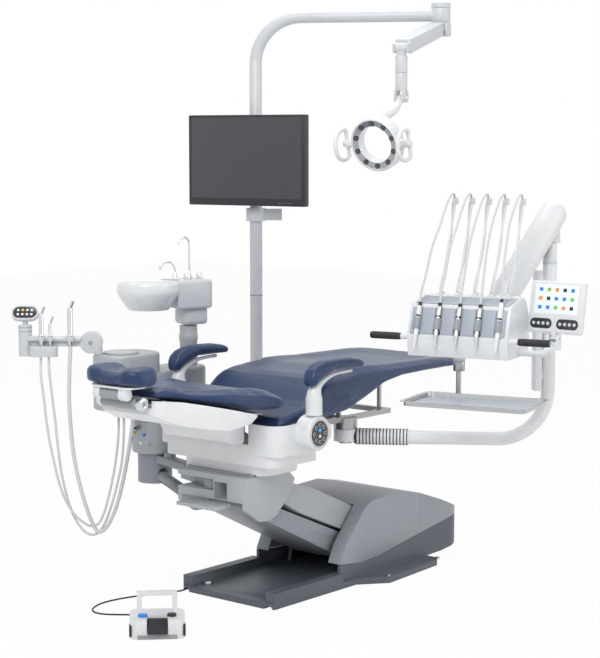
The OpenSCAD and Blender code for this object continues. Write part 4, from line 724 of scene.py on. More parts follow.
def make_cushions():
    seat = []
    for x in stations(-472, 638, 22, 14):
        half = 268 if x < 558 else 186 + math.sqrt(max(0, 82 ** 2 - (x - 558) ** 2))
        seat.append(soft_ring(x, half - 3, interpolate(SEAT_LOW, x), interpolate(SEAT_TOP, x), 6,
                              12 * min(1, max(0, (x + 250) / 150)) * min(1, max(0, (600 - x) / 120))))
    inner = [[(x, s * y, interpolate(SEAT_TOP, x) - 7) for x, y in
              ((-205, 132), (-100, 150), (60, 165), (250, 180), (440, 186), (560, 180), (622, 160))]
             for s in (-1, 1)]
    sides = [[(x, s * 266, (interpolate(SEAT_TOP, x) * 0.45 + interpolate(SEAT_LOW, x) * 0.55))
              for x in (-440, -300, -218, -67, 25, 137, 239, 395, 540)] for s in (-1, 1)]
    stuffed("seat_cushion_cover", seat, "carrier", "seat_cushion", 8,
            [(p, 4.5, 5) for p in inner] + [(p, 3.5, 4) for p in sides])
    back = [soft_ring(x, interpolate(BACK_EDGE, x) - 3, interpolate(BACK_LOW, x), interpolate(BACK_TOP, x), 5,
                      9 * min(1, max(0, (x + 900) / 120))) for x in stations(-913, -413, 16, 14)]
    rolls = [[(x, s * (interpolate(BACK_EDGE, x) - 46), interpolate(BACK_TOP, x) - 2)
              for x in (-900, -840, -780, -700, -600, -500, -425)] for s in (-1, 1)]
    creases = [[(x, s * (interpolate(BACK_EDGE, x) - 2), interpolate(BACK_TOP, x) * 0.42
                 + interpolate(BACK_LOW, x) * 0.58) for x in (-905, -840, -780, -700, -600, -500, -420)]
               for s in (-1, 1)]
    stuffed("back_cushion_cover", back, "backrest", "back_cushion", 8,
            [(p, 4, 5) for p in rolls] + [(p, 4, 4) for p in creases])
    head = []
    for y in stations(-128, 128, 8, 8):
        half = 73 if abs(y) < 60 else 5 + math.sqrt(max(0, 68 ** 2 - (abs(y) - 60) ** 2))
        head.append([(x - 942, yy, z) for x, yy, z in
                     soft_ring(y, half, 818, interpolate(LOBES, y), 4, axis="Y", count=48)])
    rim = [(-942 + 70 * c, 122 * s, 832) for c, s in
           ((math.cos(math.radians(a)), math.sin(math.radians(a))) for a in range(0, 361, 20))]
    stuffed("headrest_cover", head, "headrest", "headrest_pad", 6, [(rim, 3, 4)], 0.005)
    for side, name, body in ((1, "left", "carrier"), (-1, "right", "armrest_right")):
        pad = [[(x, side * 318 + y, z) for x, y, z in
                soft_ring(x, 29 * min(1, math.sqrt(max(0.15, 1 - ((abs(x + 242.5) - 120) / 27) ** 2))
                                      if abs(x + 242.5) > 120 else 1),
                          interpolate(PAD_LOW, x), interpolate(PAD_TOP, x), 3, count=40)]
               for x in stations(-388, -97, 8, 8)]
        line = [[(x, side * 318 + s * 29, interpolate(PAD_LOW, x) + 11) for x in (-360, -330, -262, -180, -110)]
                for s in (-1, 1)]
        stuffed(f"armrest_cover_{name}", pad, body, f"armrest_pad_{name}", 3, [(p, 2, 3) for p in line], 0.004)


# ------------------------------------------------------------------ chair
def make_base():
    for node, material, bevel in (("base_plate", "slate", 2), ("base_cover_front", "cover", 2),
                                  ("base_cover_rear", "cover", 2), ("lift_arm", "grey", 5),
                                  ("parallel_link", "cover", 4), ("carrier", "grey", 3)):
        dressed(node, material, bevel)
    for node, material in (("base_frame", "steel"), ("pump_unit", "dark"), ("lift_cylinder", "dark"),
                           ("lift_rod", "chrome"), ("seat_frame", "steel"), ("back_frame", "steel")):
        finish(node, material)
    screws = Shape()
    for x, y in ((380, 150), (-380, 150), (380, -150), (-380, -150)):
        screws.turned([(0, 22), (15, 22), (15, 24), (13, 29), (7, 31), (0, 31)], at(x, y, 0), 24)
    for x, y in ((452, -262), (120, -280), (452, 262), (120, 280)):
        screws.turned([(0, 22), (9, 22), (9, 27), (7, 29), (0, 29)], at(x, y, 0), 24)
    screws.piece("base_screws", "steel", "base", "steel")


def make_shells():
    dressed("seat_shell", "white", 7, segments=3)
    dressed("back_shell", "white", 4, segments=3)
    dressed("headrest_shell", "white", 2)
    dressed("headrest_slide", "chrome", 1)
    dressed("headrest_link", "cover", 2)
    for side, name, body, angle in ((1, "left", "carrier", -90), (-1, "right", "armrest_right", 90)):
        y = side * 318
        post = Shape(at(*LIFT_UP))
        post.tube(spline([(-351, y, 675), (-351, y, 700), (-351, y, 730), (-349, y, 752), (-338, y, 772),
                          (-312, y, 787), (-272, y, 799), (-220, y, 806), (-150, y, 808)], 5),
                  [28.5 if k < 10 else max(6.5, 28.5 - (k - 10) * 0.95) for k in range(41)], 32)
        post.turned([(28.5, 675), (29.5, 676), (29.5, 682), (28.5, 683)], at(-351, y, 0), 32)
        post.piece(f"armrest_bracket_{name}", "white", body, "white_shell", replaces=(f"armrest_post_{name}",))
    hubs = Shape(at(*LIFT_UP))
    for side, angle in ((1, -90), (-1, 90)):
        hubs.turned([(0, 0), (60, 0), (60, 53), (58.8, 58), (56, 61), (52, 62), (49.5, 61.6), (48.6, 59.5),
                     (0, 59.5)], at(-351, side * 282, 614) @ turn(angle, "X"), 56)
        hubs.box((-318, side * 303, 610), (120, 44, 56), 12)
    hubs.piece("armrest_hub_covers", "white", "carrier", "white_shell", replaces=("armrest_hubs",))
    face = at(*up(-351, -282, 614)) @ turn(90, "X")
    Shape(face).turned([(0, 59.5), (42.5, 59.5), (43, 61), (42, 62.2), (0, 62.6)], sides=48).piece(
        "chair_keypad_face", "gloss_dark", "carrier", "dark_plastic")
    Shape(face).turned([(43, 59.5), (48.4, 59.5), (48.4, 61), (46.8, 62.4), (44, 62.4), (43, 61.6)], sides=48,
                       closed=True).piece("chair_keypad_ring", "pale", "carrier", "white_shell")
    empty = bpy.data.meshes.new("seed")
    for label, r, h, z, material in (("rims", 6.4, 1.2, 62.6, "white"), ("faces", 5.2, 1.6, 62.6, "gloss_dark")):
        grown(f"chair_key_{label}", empty.copy(), TREES["ring"],
              {"Count": 8, "Circle radius": 0.029, "Disc radius": r * MM, "Disc height": h * MM}, material,
              "carrier", face @ at(0, 0, z))
    Shape(face).turned([(0, 62.4), (6, 62.4), (5.6, 63.6), (0, 63.8)], at(0, 11, 0), 24).piece(
        "chair_key_lit", "lit_blue", "carrier", "button_blue")
    Shape(face).turned([(0, 62.4), (6, 62.4), (5.6, 63.4), (0, 63.6)], at(0, -9, 0), 24).piece(
        "chair_key_centre", "white", "carrier", "white_shell")


# ------------------------------------------------------------------ lamp and monitor
def make_pole():
    for node, material, bevel in (("pole_bracket", "cover", 3), ("lamp_pole", "pale", 2), ("lamp_knuckle", "pale", 2),
                                  ("lamp_arm", "pale", 5), ("lamp_drop", "pale", 2), ("lamp_yoke", "pale", 2)):
        dressed(node, material, bevel)
    collar = Shape(at(POLE.x, POLE.y, 0))
    for z in (700, 1000, 1640):
        collar.turned([(23.8, z), (25.2, z + 1), (25.2, z + 5), (23.8, z + 6)], sides=40, closed=True)
    collar.piece("pole_joint_rings", "cover", "carrier", "grey_cover")


def make_lamp():
    facing = LAMP @ turn(-90, "Y")
    Shape(facing).turned([(95, -20), (95, 14), (92.5, 21), (87, 25), (84.8, 22), (66, 16.5), (64, 19), (62.5, 15),
                          (62.5, -16), (66, -23), (76, -26), (90, -24.5)], sides=64, closed=True).piece(
        "lamp_ring", "white", "lamp_head", "white_shell", replaces=("lamp_head",))
    Shape(facing).turned([(84.4, 19), (84.4, 22.6), (65.4, 18.2), (65.4, 15)], sides=64, closed=True).piece(
        "lamp_reflector_plate", "steel", "lamp_head", "steel")
    count = bpy.context.scene.unit_sizes.reflectors
    for label, r, h, material in (("rims", 9.4, 3.0, "dark"), ("cups", 8.0, 3.8, "reflector")):
        grown(f"lamp_reflector_{label}", bpy.data.meshes.new("seed"), TREES["ring"],
              {"Count": count, "Circle radius": 0.0745, "Disc radius": r * MM, "Disc height": h * MM}, material,
              "lamp_head", facing @ at(0, 0, 21))
    handles = Shape(LAMP)
    for s in (-1, 1):
        arc = [(-22 + 52 * math.cos(math.radians(a)), s * 123, 52 * math.sin(math.radians(a)))
               for a in range(60, 301, 8)]
        top = Vector(arc[0])
        low = Vector(arc[-1])
        bar = [top.lerp(low, k / 6) for k in range(7)]
        handles.tube([bar[1]] + [top] + arc[1:-1] + [low] + [bar[5]], 7, 20)
        handles.tube(bar, 6.6, 20)
        handles.tube([(0, s * 86, 0), (0, s * 98, 0), (-1, s * 110, 0), (-2, s * 128, 0)], [17, 16, 14, 13], 28)
        handles.turned([(0, 0), (11, 0), (11, 4), (9, 6), (0, 6.4)],
                       at(-2, s * 128, 0) @ turn(-90 * s, "X"), 28)
    handles.piece("lamp_handles", "white", "lamp_head", "white_shell")
    stem = Shape(at(*LAMP_TOP) @ turn(6))
    stem.tube(spline([(0, 0, -170), (-20, 0, -190), (-44, 2, -212), (-82, 11, -229), (-128, 22, -246)], 6),
              [10.5 + 9 * k / 24 for k in range(25)], 28)
    stem.turned([(0, -11.5), (11, -11.5), (11, 11.5), (0, 11.5)], at(0, 0, -170) @ turn(90, "X"), 28)
    stem.turned([(0, -27), (6, -27), (6, 27), (0, 27)], at(0, 0, -170) @ turn(90, "X"), 20)
    stem.piece("lamp_stem", "white", "lamp_head", "white_shell")


def make_monitor():
    body = Shape(MONITOR)
    body.box((-5, 0, 0), (34, 518, 344), 5)
    body.box((19, 0, 0), (16, 44, 40), 3)
    for r, w in ((12, 44), (6, 84)):
        body.turned([(0, -w / 2), (r, -w / 2), (r, w / 2), (0, w / 2)], at(27, 0, 0) @ turn(90, "X"), 28)
    body.piece("monitor_case", "dark", "monitor", "dark_plastic", replaces=("monitor",))
    Shape(MONITOR).box((-21.8, 0, 9), (1.4, 488, 306), 0.6).piece("monitor_screen", "screen", "monitor", "screen")
    keys = Shape(MONITOR)
    for k in range(5):
        keys.box((-22.2, -150 - 14 * k, -160), (0.8, 5, 2), 0.3)
    keys.piece("monitor_keys", "cover", "monitor", "grey_plastic")
    vents = Shape(MONITOR)
    for k in range(9):
        vents.box((12.2, 0, 60 + 8 * k), (1.2, 180, 3), 0.5)
    vents.piece("monitor_vents", "rubber", "monitor", "dark_plastic")


# ------------------------------------------------------------------ instrument table
def make_delivery_arm():
    for node, material, bevel in (("delivery_arm", "white", 2), ("delivery_post", "white", 2),
                                  ("balance_arm", "white", 3), ("delivery_knuckle", "pale", 2)):
        dressed(node, material, bevel)
    rings = Shape(at(RISER.x, RISER.y, 0))
    for z in (1164, 1258):
        rings.turned([(24.3, z), (26.4, z + 1), (26.4, z + 8), (24.3, z + 9)], sides=40, closed=True)
    rings.piece("upright_rings", "pale", "delivery_arm", "white_shell")
    reach = at(SWING.x, SWING.y, TUBE_Z) @ turn(-56.5)
    ribbed_hose("swing_bellows", [(34, 0, 0), (60, 0, 0), (110, 0, 0), (170, 0, 0), (226, 0, 0)], 30.5, "rubber",
                "delivery_arm", reach, 0.012)


def make_delivery_head():
    dressed("delivery_head", "white", 3, segments=3)
    lean = math.degrees(math.atan(38 / 108))
    front = HEAD @ at(-152, 0, 66) @ turn(lean, "Y")
    panel = Shape(front)
    for y in [(a + b) / 2 for a, b in zip([184] + HOLDERS, HOLDERS + [-184])]:
        panel.box((-2.4, max(-150, min(150, y * 0.93)) if abs(y) > 120 else y, 56), (5, 34 if abs(y) > 120 else 46, 92),
                  2.2)
    panel.piece("holder_panels", "holder", "delivery_head", "grey_plastic")
    slots = Shape(front)
    for y in HOLDERS:
        slots.box((0.2, y, 56), (2.4, 24, 96), 1)
    slots.piece("holder_slots", "gloss_dark", "delivery_head", "dark_plastic")
    cups = Shape(front)
    for y in HOLDERS:
        cups.turned([(10.6, 26), (12.6, 26), (13.2, 30), (13.2, 60), (11.6, 64), (10.2, 60)],
                    at(-5, y, 0), 28, closed=True)
    cups.piece("holder_cups", "cover", "delivery_head", "grey_plastic")
    mat = Shape(HEAD @ at(-66, 0, 182) @ turn(-9.7, "Y"))
    mat.box((0, 0, 3), (84, 330, 4), 1.6)
    for k in range(27):
        mat.box((0, -156 + 12 * k, 6), (76, 2, 2.4), 0.6, segments=1)
    for k in range(7):
        mat.box((-36 + 12 * k, 0, 6), (2, 318, 2.4), 0.6, segments=1)
    mat.piece("table_mat", "mat", "delivery_head", "grey_plastic")
    grips = Shape(HEAD)
    for s in (-1, 1):
        grips.turned([(9.6, 30), (11.5, 32), (12.5, 50), (12.5, 132), (11, 141), (0, 143)],
                     at(-128, s * 178, 62) @ turn(-90 * s, "X"), 28)
    grips.piece("table_grips", "rubber", "delivery_head", "dark_rubber")


def make_handpieces():
    lean = math.degrees(math.atan(38 / 108))
    metal, white, bands = Shape(), Shape(), Shape()
    for i, y in enumerate(HOLDERS):
        place = HEAD @ at(-157, y, 66) @ turn(lean, "Y")
        tall = 138 if i == 4 else 116
        profile = [(0, -38), (2.6, -38), (3.6, -30), (4.6, -14), (7, 2), (8.3, 12), (8.3, 52), (7.2, 58), (8.4, 64),
                   (8.4, tall - 22), (7.4, tall - 14), (5.4, tall - 6), (5, tall), (0, tall)]
        (white if i in (0, 4) else metal).turned(profile, place, 24)
        bands.turned([(8.2, 70), (8.9, 71), (8.9, 75), (8.2, 76)], place, 24, closed=True)
        bands.turned([(5.2, tall - 8), (6.2, tall - 7), (5.6, tall + 4), (4.6, tall + 4)], place, 24, closed=True)
    metal.piece("handpieces_steel", "chrome", "delivery_head", "chrome", replaces=("instruments",))
    white.piece("handpieces_white", "enamel", "delivery_head", "white_enamel")
    bands.piece("handpiece_bands", "rubber", "delivery_head", "dark_rubber")
    for i, y in enumerate(WHIPS):
        whip = Shape(HEAD)
        a, b = Vector((26, y, 206)), Vector((155, y, 512))
        whip.tube([a.lerp(b, k / 12) for k in range(13)], 4, 16)
        whip.turned([(0, -8), (17, -8), (17, -5), (15, -3), (15, 3), (17, 5), (17, 8), (0, 8)],
                    at(26, y, 190) @ turn(90, "X"), 32)
        whip.turned([(0, -7), (13, -7), (10.5, -3), (10.5, 3), (13, 7), (0, 7)], at(155, y, 512) @ turn(90, "X"),
                    32)
        whip.piece(f"whip_{i + 1}_finish", "white", f"whip_{i + 1}", "white_shell",
                   replaces=(f"whip_arm_{i + 1}",))


def make_tray():
    dressed("tray_arm", "steel", 2)
    dressed("tray", "tray", 0.5)
    Shape(HEAD).box((-155, -70, -149.6), (232, 412, 1.6), 0.6).piece("tray_liner", "mat", "tray", "grey_plastic")


def make_touch_panel():
    panel = HEAD @ at(16, -283, 62) @ turn(-12) @ turn(10, "Y")
    body = Shape(panel)
    body.box((5, 0, 106), (26, 204, 176), 9, segments=4)
    body.box((0, 0, 14), (12, 18, 20), 3)
    body.piece("touch_panel_case", "white", "touch_panel", "white_shell", replaces=("touch_panel",))
    joint = Shape(HEAD @ at(16, -283, 62))
    for r, w in ((10, 22), (6, 42)):
        joint.turned([(0, -w / 2), (r, -w / 2), (r, w / 2), (0, w / 2)], turn(90, "X"), 28)
    joint.piece("touch_panel_pin", "steel", "touch_panel", "steel")
    Shape(panel).box((-8, 0, 132), (1.6, 164, 100), 0.6).piece("touch_panel_screen", "display", "touch_panel",
                                                             "screen")
    tiles = {"blue": Shape(panel), "green": Shape(panel), "orange": Shape(panel), "gloss_dark": Shape(panel)}
    for row in range(3):
        for column in range(5):
            colour = ("blue", "green", "orange", "gloss_dark", "blue")[(column + 2 * row) % 5]
            tiles[colour].box((-9, 60 - 30 * column, 164 - 30 * row), (0.9, 13, 12), 0.4, segments=1)
    for colour, shape in tiles.items():
        shape.piece(f"touch_panel_tiles_{colour}", colour, "touch_panel", "screen")
    oval = turn(-90, "Y")
    groups, keys = Shape(panel), Shape(panel)
    for y in (-50, 50):
        groups.prism(rounded(34, 82, 16), 1.4, at(-8, y, 50) @ oval, 0.6)
        for k in range(4):
            keys.turned([(0, 0), (6, 0), (5.4, 1.2), (0, 1.4)], at(-9.4, y - 27 + 18 * k, 50) @ oval, 20)
    groups.piece("touch_panel_key_groups", "gloss_dark", "touch_panel", "dark_plastic")
    keys.piece("touch_panel_keys", "pale", "touch_panel", "grey_plastic")


# ------------------------------------------------------------------ water unit
def make_unit():
    dressed("unit_arm", "cover", 3)
    axis = at(UNIT_AXIS.x, UNIT_AXIS.y, 0)
    body = Shape(axis)
    body.prism(rounded(485, 164, 60), 128, at(-19.5, 0, UNIT_BELLY), 11, 4)
    body.prism(rounded(242.5, 164, 60), 150, at(-140.8, 0, UNIT_BELLY + 50), 11, 4)
    body.turned([(0, UNIT_FLOOR), (80, UNIT_FLOOR), (84, UNIT_FLOOR + 3), (85, UNIT_FLOOR + 8),
                 (85, UNIT_FLOOR + 116), (83.4, UNIT_FLOOR + 117.5), (83.4, UNIT_FLOOR + 119),
                 (85, UNIT_FLOOR + 120.5), (85, UNIT_BELLY + 3), (0, UNIT_BELLY + 3)], sides=64)
    body.turned([(0, UNIT_TOP - 2), (62, UNIT_TOP - 2), (62, UNIT_TOP + 4), (59, UNIT_TOP + 7.6),
                 (0, UNIT_TOP + 8)], at(-168, 0, 0), 48)
    body.turned([(0, 0), (33, 0), (33, 210), (35, 214), (35, 236), (33, 240), (33, 270), (0, 270)],
                at(177, -5, UNIT_BELLY + 4), 40)
    body.turned([(0, -30), (14, -30), (14, 0), (8, 0), (8, 22), (0, 22)], at(-244, 37, UNIT_TOP), 32)
    body.piece("water_unit_casing", "grey", "unit_body", "grey_cover", replaces=("unit_body",))
    seams = Shape(axis)
    seams.turned([(63.2, UNIT_TOP - 1), (64.6, UNIT_TOP - 1), (64.6, UNIT_TOP + 0.8), (63.2, UNIT_TOP + 0.8)],
                 at(-168, 0, 0), 48, closed=True)
    seams.box((-19.5, -81.6, UNIT_BELLY + 10), (360, 1.4, 1.4), 0.4)
    seams.piece("water_unit_seams", "dark", "unit_body", "dark_plastic")
    fittings = [(181, 559, 9, 16, "cover"), (181, 559, 5, 22, "dark"), (167, 539, 5, 12, "yellow"),
                (198, 535, 5, 12, "blue"), (188, 505, 7, 6, "white"), (150, 510, 5, 10, "cover"),
                (212, 500, 5, 6, "cover")]
    for k, (angle, z, r, h, material) in enumerate(fittings):
        place = axis @ at(0, 0, z) @ turn(angle) @ at(82, 0, 0) @ turn(90, "Y")
        Shape(place).turned([(0, 0), (r, 0), (r, h * 0.8), (r * 0.85, h), (0, h)], sides=24).piece(
            f"unit_fitting_{k + 1}", material, "unit_body", "grey_plastic")
    ledge = Shape(axis)
    ledge.box((18, -84, UNIT_FLOOR + 96), (74, 30, 46), 8)
    ledge.piece("unit_ledge", "grey", "unit_body", "grey_cover")
    brass = Shape(axis)
    for k, x in enumerate((16, 34, 52)):
        brass.turned([(0, 0), (6, 0), (6, 8), (4, 10), (4, 22), (0, 22)], at(x, -62 + 8 * k, UNIT_FLOOR - 18), 20)
    brass.piece("unit_couplings", "brass", "unit_arm", "chrome")
    arm = at(UNIT_PIVOT.x, UNIT_PIVOT.y, 0) @ turn(72)
    ribbed_hose("supply_hose", [(398, 0, 396), (372, 0, 376), (310, 4, 367), (230, 9, 357), (152, 14, 346),
                                (126, 15, 343)], 22, "slate_rubber", "unit_arm", arm, 0.01)


def make_bowl():
    Shape(BOWL @ at(-165, 0, 0)).turned(
        [(0, 62), (74, 62), (92, 84), (108, 110), (115, 124), (116, 132), (116, 156), (114, 161), (111, 162),
         (108, 160), (107, 156), (107, 130), (103, 122), (84, 96), (64, 76), (50, 72), (16, 71), (0, 71)],
        sides=72).piece("rinse_bowl", "enamel", "bowl", "white_enamel", replaces=("bowl",))
    deck = Shape(BOWL).prism(rounded(220, 150, 40), 106, at(-33, 0, 61), 12, 4).piece(
        "bowl_deck", "pale", "bowl", "white_shell")
    hole = Shape(BOWL @ at(-165, 0, 0)).turned([(0, 40), (111.5, 40), (111.5, 200), (0, 200)], sides=72)
    cutter = bpy.data.objects.new("hole", hole.mesh("hole"))
    bpy.context.scene.collection.objects.link(cutter)
    cut(deck, cutter)
    Shape(BOWL).box((12, 0, 34), (94, 98, 68), 14).piece("bowl_turret", "pale", "bowl", "white_shell")
    Shape(BOWL @ at(-165, 0, 0)).turned([(0, 71), (15, 71), (14, 73), (10, 73.6), (0, 72.6)], sides=32).piece(
        "bowl_strainer", "chrome", "bowl", "chrome")
    taps = Shape(BOWL)
    for x, y, h, r, angle in ((28, 42, 128, 24, 8), (-44, 20, 34, 30, -6)):
        place = at(x, y, 168) @ turn(angle)
        taps.turned([(0, 0), (12, 0), (12, 3), (9, 8), (6, 22), (4.5, 26), (0, 26)], place, 28)
        arc = [(-r + r * math.cos(math.radians(a)), 0, h + r * math.sin(math.radians(a)))
               for a in range(0, 181, 10)]
        taps.tube([place @ Vector(p) for p in [(0, 0, 10), (0, 0, h * 0.6)] + arc], 4, 20)
    for x, y, r, h in ((52, 8, 12, 20), (0, 8, 14, 18)):
        taps.turned([(0, 0), (r, 0), (r, h - 5), (r - 2, h - 1), (r - 5, h), (0, h)], at(x, y, 168), 32)
    taps.piece("bowl_spouts", "chrome", "bowl", "chrome", replaces=("bowl_taps",))


def make_assist_arm():
    dressed("assist_arm", "pale", 2)
    dressed("assist_instruments", "chrome", 0.8)
    pad = ASSIST @ at(260, -4, 146) @ turn(-50, "X")
    Shape(pad).prism(rounded(84, 48, 22), 2, at(0, 0, 6.6), 0.8).piece(
        "assist_keypad", "gloss_dark", "assist_arm", "dark_plastic")
    keys = Shape(pad)
    for x in (-24, -8, 8, 24):
        for y in (-9, 9):
            keys.turned([(0, 0), (5, 0), (4.6, 1), (0, 1.2)], at(x, y, 8.4), 20)
    keys.piece("assist_keys", "white", "assist_arm", "white_shell")
    Shape(pad).turned([(0, 0), (5.4, 0), (5, 1.4), (0, 1.6)], at(8, -9, 8.6), 20).piece(
        "assist_key_yellow", "yellow", "assist_arm", "grey_plastic")
    rings = Shape(ASSIST)
    for z in (82, 96):
        rings.turned([(23.6, z), (24.8, z + 1), (24.8, z + 2), (23.6, z + 3)], at(260, 0, 0), 40, closed=True)
    rings.turned([(0, 0), (7, 0), (7, 3), (5, 4.4), (0, 4.4)], at(25, 18, 44) @ turn(-90, "X"), 28)
    rings.piece("assist_rings", "cover", "assist_arm", "grey_plastic")


# ------------------------------------------------------------------ foot control
def make_foot_control():
    dressed("foot_control", "white", 5, segments=3)
    dressed("foot_pedal", "rubber", 2)
    dressed("foot_button_blue", "blue", 2)
    dressed("foot_button_dark", "dark", 2)
    pads = Shape(FOOT)
    for s in (-1, 1):
        pads.box((-50, s * 87, 30), (34, 8, 38), 3)
    pads.piece("foot_side_pads", "rubber", "foot_control", "dark_rubber")
    Shape(FOOT).box((-76, 0, 12), (5, 128, 14), 2).piece("foot_guard", "smoke", "foot_control", "grey_plastic")


# ------------------------------------------------------------------ stage
def make_stage():
    scene = bpy.context.scene
    scene.view_settings.view_transform = "Standard"
    data = bpy.data.cameras.new("camera")
    data.lens, data.sensor_width, data.clip_end = 95.74, 36, 60
    camera = bpy.data.objects.new("camera", data)
    camera.location = (-4.86435, -4.04334, 1.6)
    camera.rotation_euler = Vector((0.761616, 0.639071, -0.107376)).to_track_quat("-Z", "Y").to_euler()
    scene.collection.objects.link(camera)
    scene.camera = camera
    floor = bpy.data.objects.new("floor", Shape().box((0, 0, -10), (24000, 24000, 18)).mesh("floor"))
    scene.collection.objects.link(floor)
    floor.data.materials.append(backdrop("pale_floor", 0.955))
    world = bpy.data.worlds.new("studio")
    scene.world = world
    world.use_nodes = True
    tree = world.node_tree
    tree.nodes.clear()
    lit = add(tree, "ShaderNodeBackground", {"Color": (1, 1, 1, 1), "Strength": 0.5})
    seen = add(tree, "ShaderNodeBackground", {"Color": (1, 1, 1, 1), "Strength": 1.0})
    mix = add(tree, "ShaderNodeMixShader", links={0: seen_rays(tree), 1: lit.outputs[0], 2: seen.outputs[0]})
    add(tree, "ShaderNodeOutputWorld", links={"Surface": mix.outputs[0]})
    for name, place, size, power in (("key_light", (-3.6, -1.8, 3.6), 2.2, 95), ("fill_light", (1.6, -4.2, 2.0), 2.6, 34),
                                     ("top_light", (0.4, 0.6, 4.4), 3.0, 60)):
        lamp = bpy.data.lights.new(name, "AREA")
        lamp.size, lamp.energy = size, power
        obj = bpy.data.objects.new(name, lamp)
        obj.location = place
        obj.rotation_euler = (Vector((0, 0, 0.9)) - Vector(place)).to_track_quat("-Z", "Y").to_euler()
        scene.collection.objects.link(obj)


def seen_rays(tree):
    """One for rays that come from the camera, a mirror or glass."""
    path = add(tree, "ShaderNodeLightPath")
    some = add(tree, "ShaderNodeMath", links={0: path.outputs["Is Camera Ray"], 1: path.outputs["Is Glossy Ray"]},
               operation="MAXIMUM")
    return add(tree, "ShaderNodeMath", links={0: some.outputs[0], 1: path.outputs["Is Transmission Ray"]},
               operation="MAXIMUM").outputs[0]


def backdrop(name, share):
    """A pale floor that looks white and still keeps a faint shadow."""
    mat = bpy.data.materials.new(name)
    mat.use_nodes = True
    tree = mat.node_tree
    tree.nodes.clear()
    plain = add(tree, "ShaderNodeBsdfDiffuse", {"Color": (0.9, 0.9, 0.9, 1)})
    bright = add(tree, "ShaderNodeEmission", {"Color": (1, 1, 1, 1), "Strength": 1.0})
    part = add(tree, "ShaderNodeMath", {1: share}, {0: seen_rays(tree)}, operation="MULTIPLY")
    mix = add(tree, "ShaderNodeMixShader", links={0: part.outputs[0], 1: plain.outputs[0], 2: bright.outputs[0]})
    add(tree, "ShaderNodeOutputMaterial", links={"Surface": mix.outputs[0]})
    return mat


# ------------------------------------------------------------------ add-on
class DENTAL_OT_stage(bpy.types.Operator):
    """Camera, floor, lamps and world"""
    bl_idname = "dental.stage"
    bl_label = "Camera, floor, lamps and world"

    def execute(self, context):
        make_stage()
        return {"FINISHED"}


class DENTAL_OT_cords(bpy.types.Operator):
    """Foot control cable and the hoses"""
    bl_idname = "dental.cords"
    bl_label = "Foot control cable and the hoses"

    def execute(self, context):
        make_cords()
        return {"FINISHED"}


class DENTAL_OT_cushions(bpy.types.Operator):
    """Seat, back, headrest and armrest covers"""
    bl_idname = "dental.cushions"
    bl_label = "Seat, back, headrest and armrest covers"

    def execute(self, context):
        make_cushions()
        return {"FINISHED"}


class DENTAL_OT_base(bpy.types.Operator):
    """Base, lift and frames"""
    bl_idname = "dental.base"
    bl_label = "Base, lift and frames"

    def execute(self, context):
        make_base()
        return {"FINISHED"}


class DENTAL_OT_shells(bpy.types.Operator):
    """Seat and back shells, headrest and armrests"""
    bl_idname = "dental.shells"
    bl_label = "Seat and back shells, headrest and armrests"

    def execute(self, context):
        make_shells()
        return {"FINISHED"}


class DENTAL_OT_pole(bpy.types.Operator):
    """Pole, boom and the lamp's arms"""
    bl_idname = "dental.pole"
    bl_label = "Pole, boom and the lamp's arms"

    def execute(self, context):
        make_pole()
        return {"FINISHED"}


class DENTAL_OT_lamp(bpy.types.Operator):
    """Lamp ring, reflectors and handles"""
    bl_idname = "dental.lamp"
    bl_label = "Lamp ring, reflectors and handles"

    def execute(self, context):
        make_lamp()
        return {"FINISHED"}


class DENTAL_OT_monitor(bpy.types.Operator):
    """Monitor on the pole"""
    bl_idname = "dental.monitor"
    bl_label = "Monitor on the pole"

    def execute(self, context):
        make_monitor()
        return {"FINISHED"}


class DENTAL_OT_delivery_arm(bpy.types.Operator):
    """Delivery arm, upright and balance arm"""
    bl_idname = "dental.delivery_arm"
    bl_label = "Delivery arm, upright and balance arm"

    def execute(self, context):
        make_delivery_arm()
        return {"FINISHED"}


class DENTAL_OT_delivery_head(bpy.types.Operator):
    """Instrument table"""
    bl_idname = "dental.delivery_head"
    bl_label = "Instrument table"

    def execute(self, context):
        make_delivery_head()
        return {"FINISHED"}


class DENTAL_OT_handpieces(bpy.types.Operator):
    """Handpieces and whips"""
    bl_idname = "dental.handpieces"
    bl_label = "Handpieces and whips"

    def execute(self, context):
        make_handpieces()
        return {"FINISHED"}


class DENTAL_OT_tray(bpy.types.Operator):
    """Instrument tray"""
    bl_idname = "dental.tray"
    bl_label = "Instrument tray"

    def execute(self, context):
        make_tray()
        return {"FINISHED"}


class DENTAL_OT_touch_panel(bpy.types.Operator):
    """Touch panel"""
    bl_idname = "dental.touch_panel"
    bl_label = "Touch panel"

    def execute(self, context):
        make_touch_panel()
        return {"FINISHED"}


class DENTAL_OT_unit(bpy.types.Operator):
    """Water unit and its hose"""
    bl_idname = "dental.unit"
    bl_label = "Water unit and its hose"

    def execute(self, context):
        make_unit()
        return {"FINISHED"}


class DENTAL_OT_bowl(bpy.types.Operator):
    """Rinse bowl and taps"""
    bl_idname = "dental.bowl"
    bl_label = "Rinse bowl and taps"

    def execute(self, context):
        make_bowl()
        return {"FINISHED"}


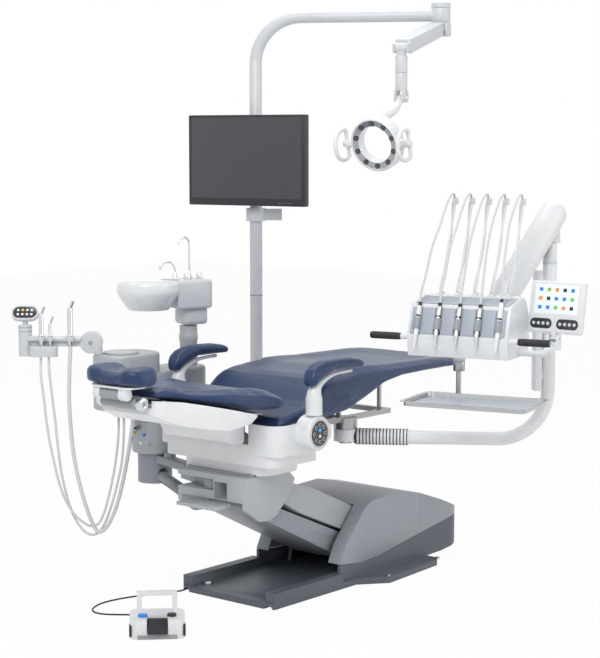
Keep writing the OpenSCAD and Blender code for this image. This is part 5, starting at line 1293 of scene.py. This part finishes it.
class DENTAL_OT_assist_arm(bpy.types.Operator):
    """Assistant's arm"""
    bl_idname = "dental.assist_arm"
    bl_label = "Assistant's arm"

    def execute(self, context):
        make_assist_arm()
        return {"FINISHED"}


class DENTAL_OT_foot_control(bpy.types.Operator):
    """Foot control"""
    bl_idname = "dental.foot_control"
    bl_label = "Foot control"

    def execute(self, context):
        make_foot_control()
        return {"FINISHED"}


class DENTAL_PT_panel(bpy.types.Panel):
    """Lists the unit's pieces"""
    bl_label = "Dental unit"
    bl_idname = "DENTAL_PT_panel"
    bl_space_type = "VIEW_3D"
    bl_region_type = "UI"
    bl_category = "Dental unit"

    def draw(self, context):
        for operator in OPERATORS:
            self.layout.operator(operator.bl_idname)
        for settings in (context.scene.chair_sizes, context.scene.unit_sizes):
            for name in settings.bl_rna.properties.keys():
                if name not in ("rna_type", "name"):
                    self.layout.prop(settings, name)


OPERATORS = (DENTAL_OT_stage,
           DENTAL_OT_cords,
           DENTAL_OT_cushions,
           DENTAL_OT_base,
           DENTAL_OT_shells,
           DENTAL_OT_pole,
           DENTAL_OT_lamp,
           DENTAL_OT_monitor,
           DENTAL_OT_delivery_arm,
           DENTAL_OT_delivery_head,
           DENTAL_OT_handpieces,
           DENTAL_OT_tray,
           DENTAL_OT_touch_panel,
           DENTAL_OT_unit,
           DENTAL_OT_bowl,
           DENTAL_OT_assist_arm,
           DENTAL_OT_foot_control)
CLASSES = (ChairSettings, UnitSettings, *OPERATORS, DENTAL_PT_panel)


def register():
    for cls in CLASSES:
        bpy.utils.register_class(cls)
    bpy.types.Scene.chair_sizes = bpy.props.PointerProperty(type=ChairSettings)
    bpy.types.Scene.unit_sizes = bpy.props.PointerProperty(type=UnitSettings)


def unregister():
    del bpy.types.Scene.chair_sizes
    del bpy.types.Scene.unit_sizes
    for cls in reversed(CLASSES):
        bpy.utils.unregister_class(cls)


def main():
    register()
    make_materials()
    TREES.update(ribbed=ribbed_tree(), ring=ring_tree())
    for operator in OPERATORS:
        group, name = operator.bl_idname.split(".")
        getattr(getattr(bpy.ops, group), name)()


if __name__ == "__main__":
    main()
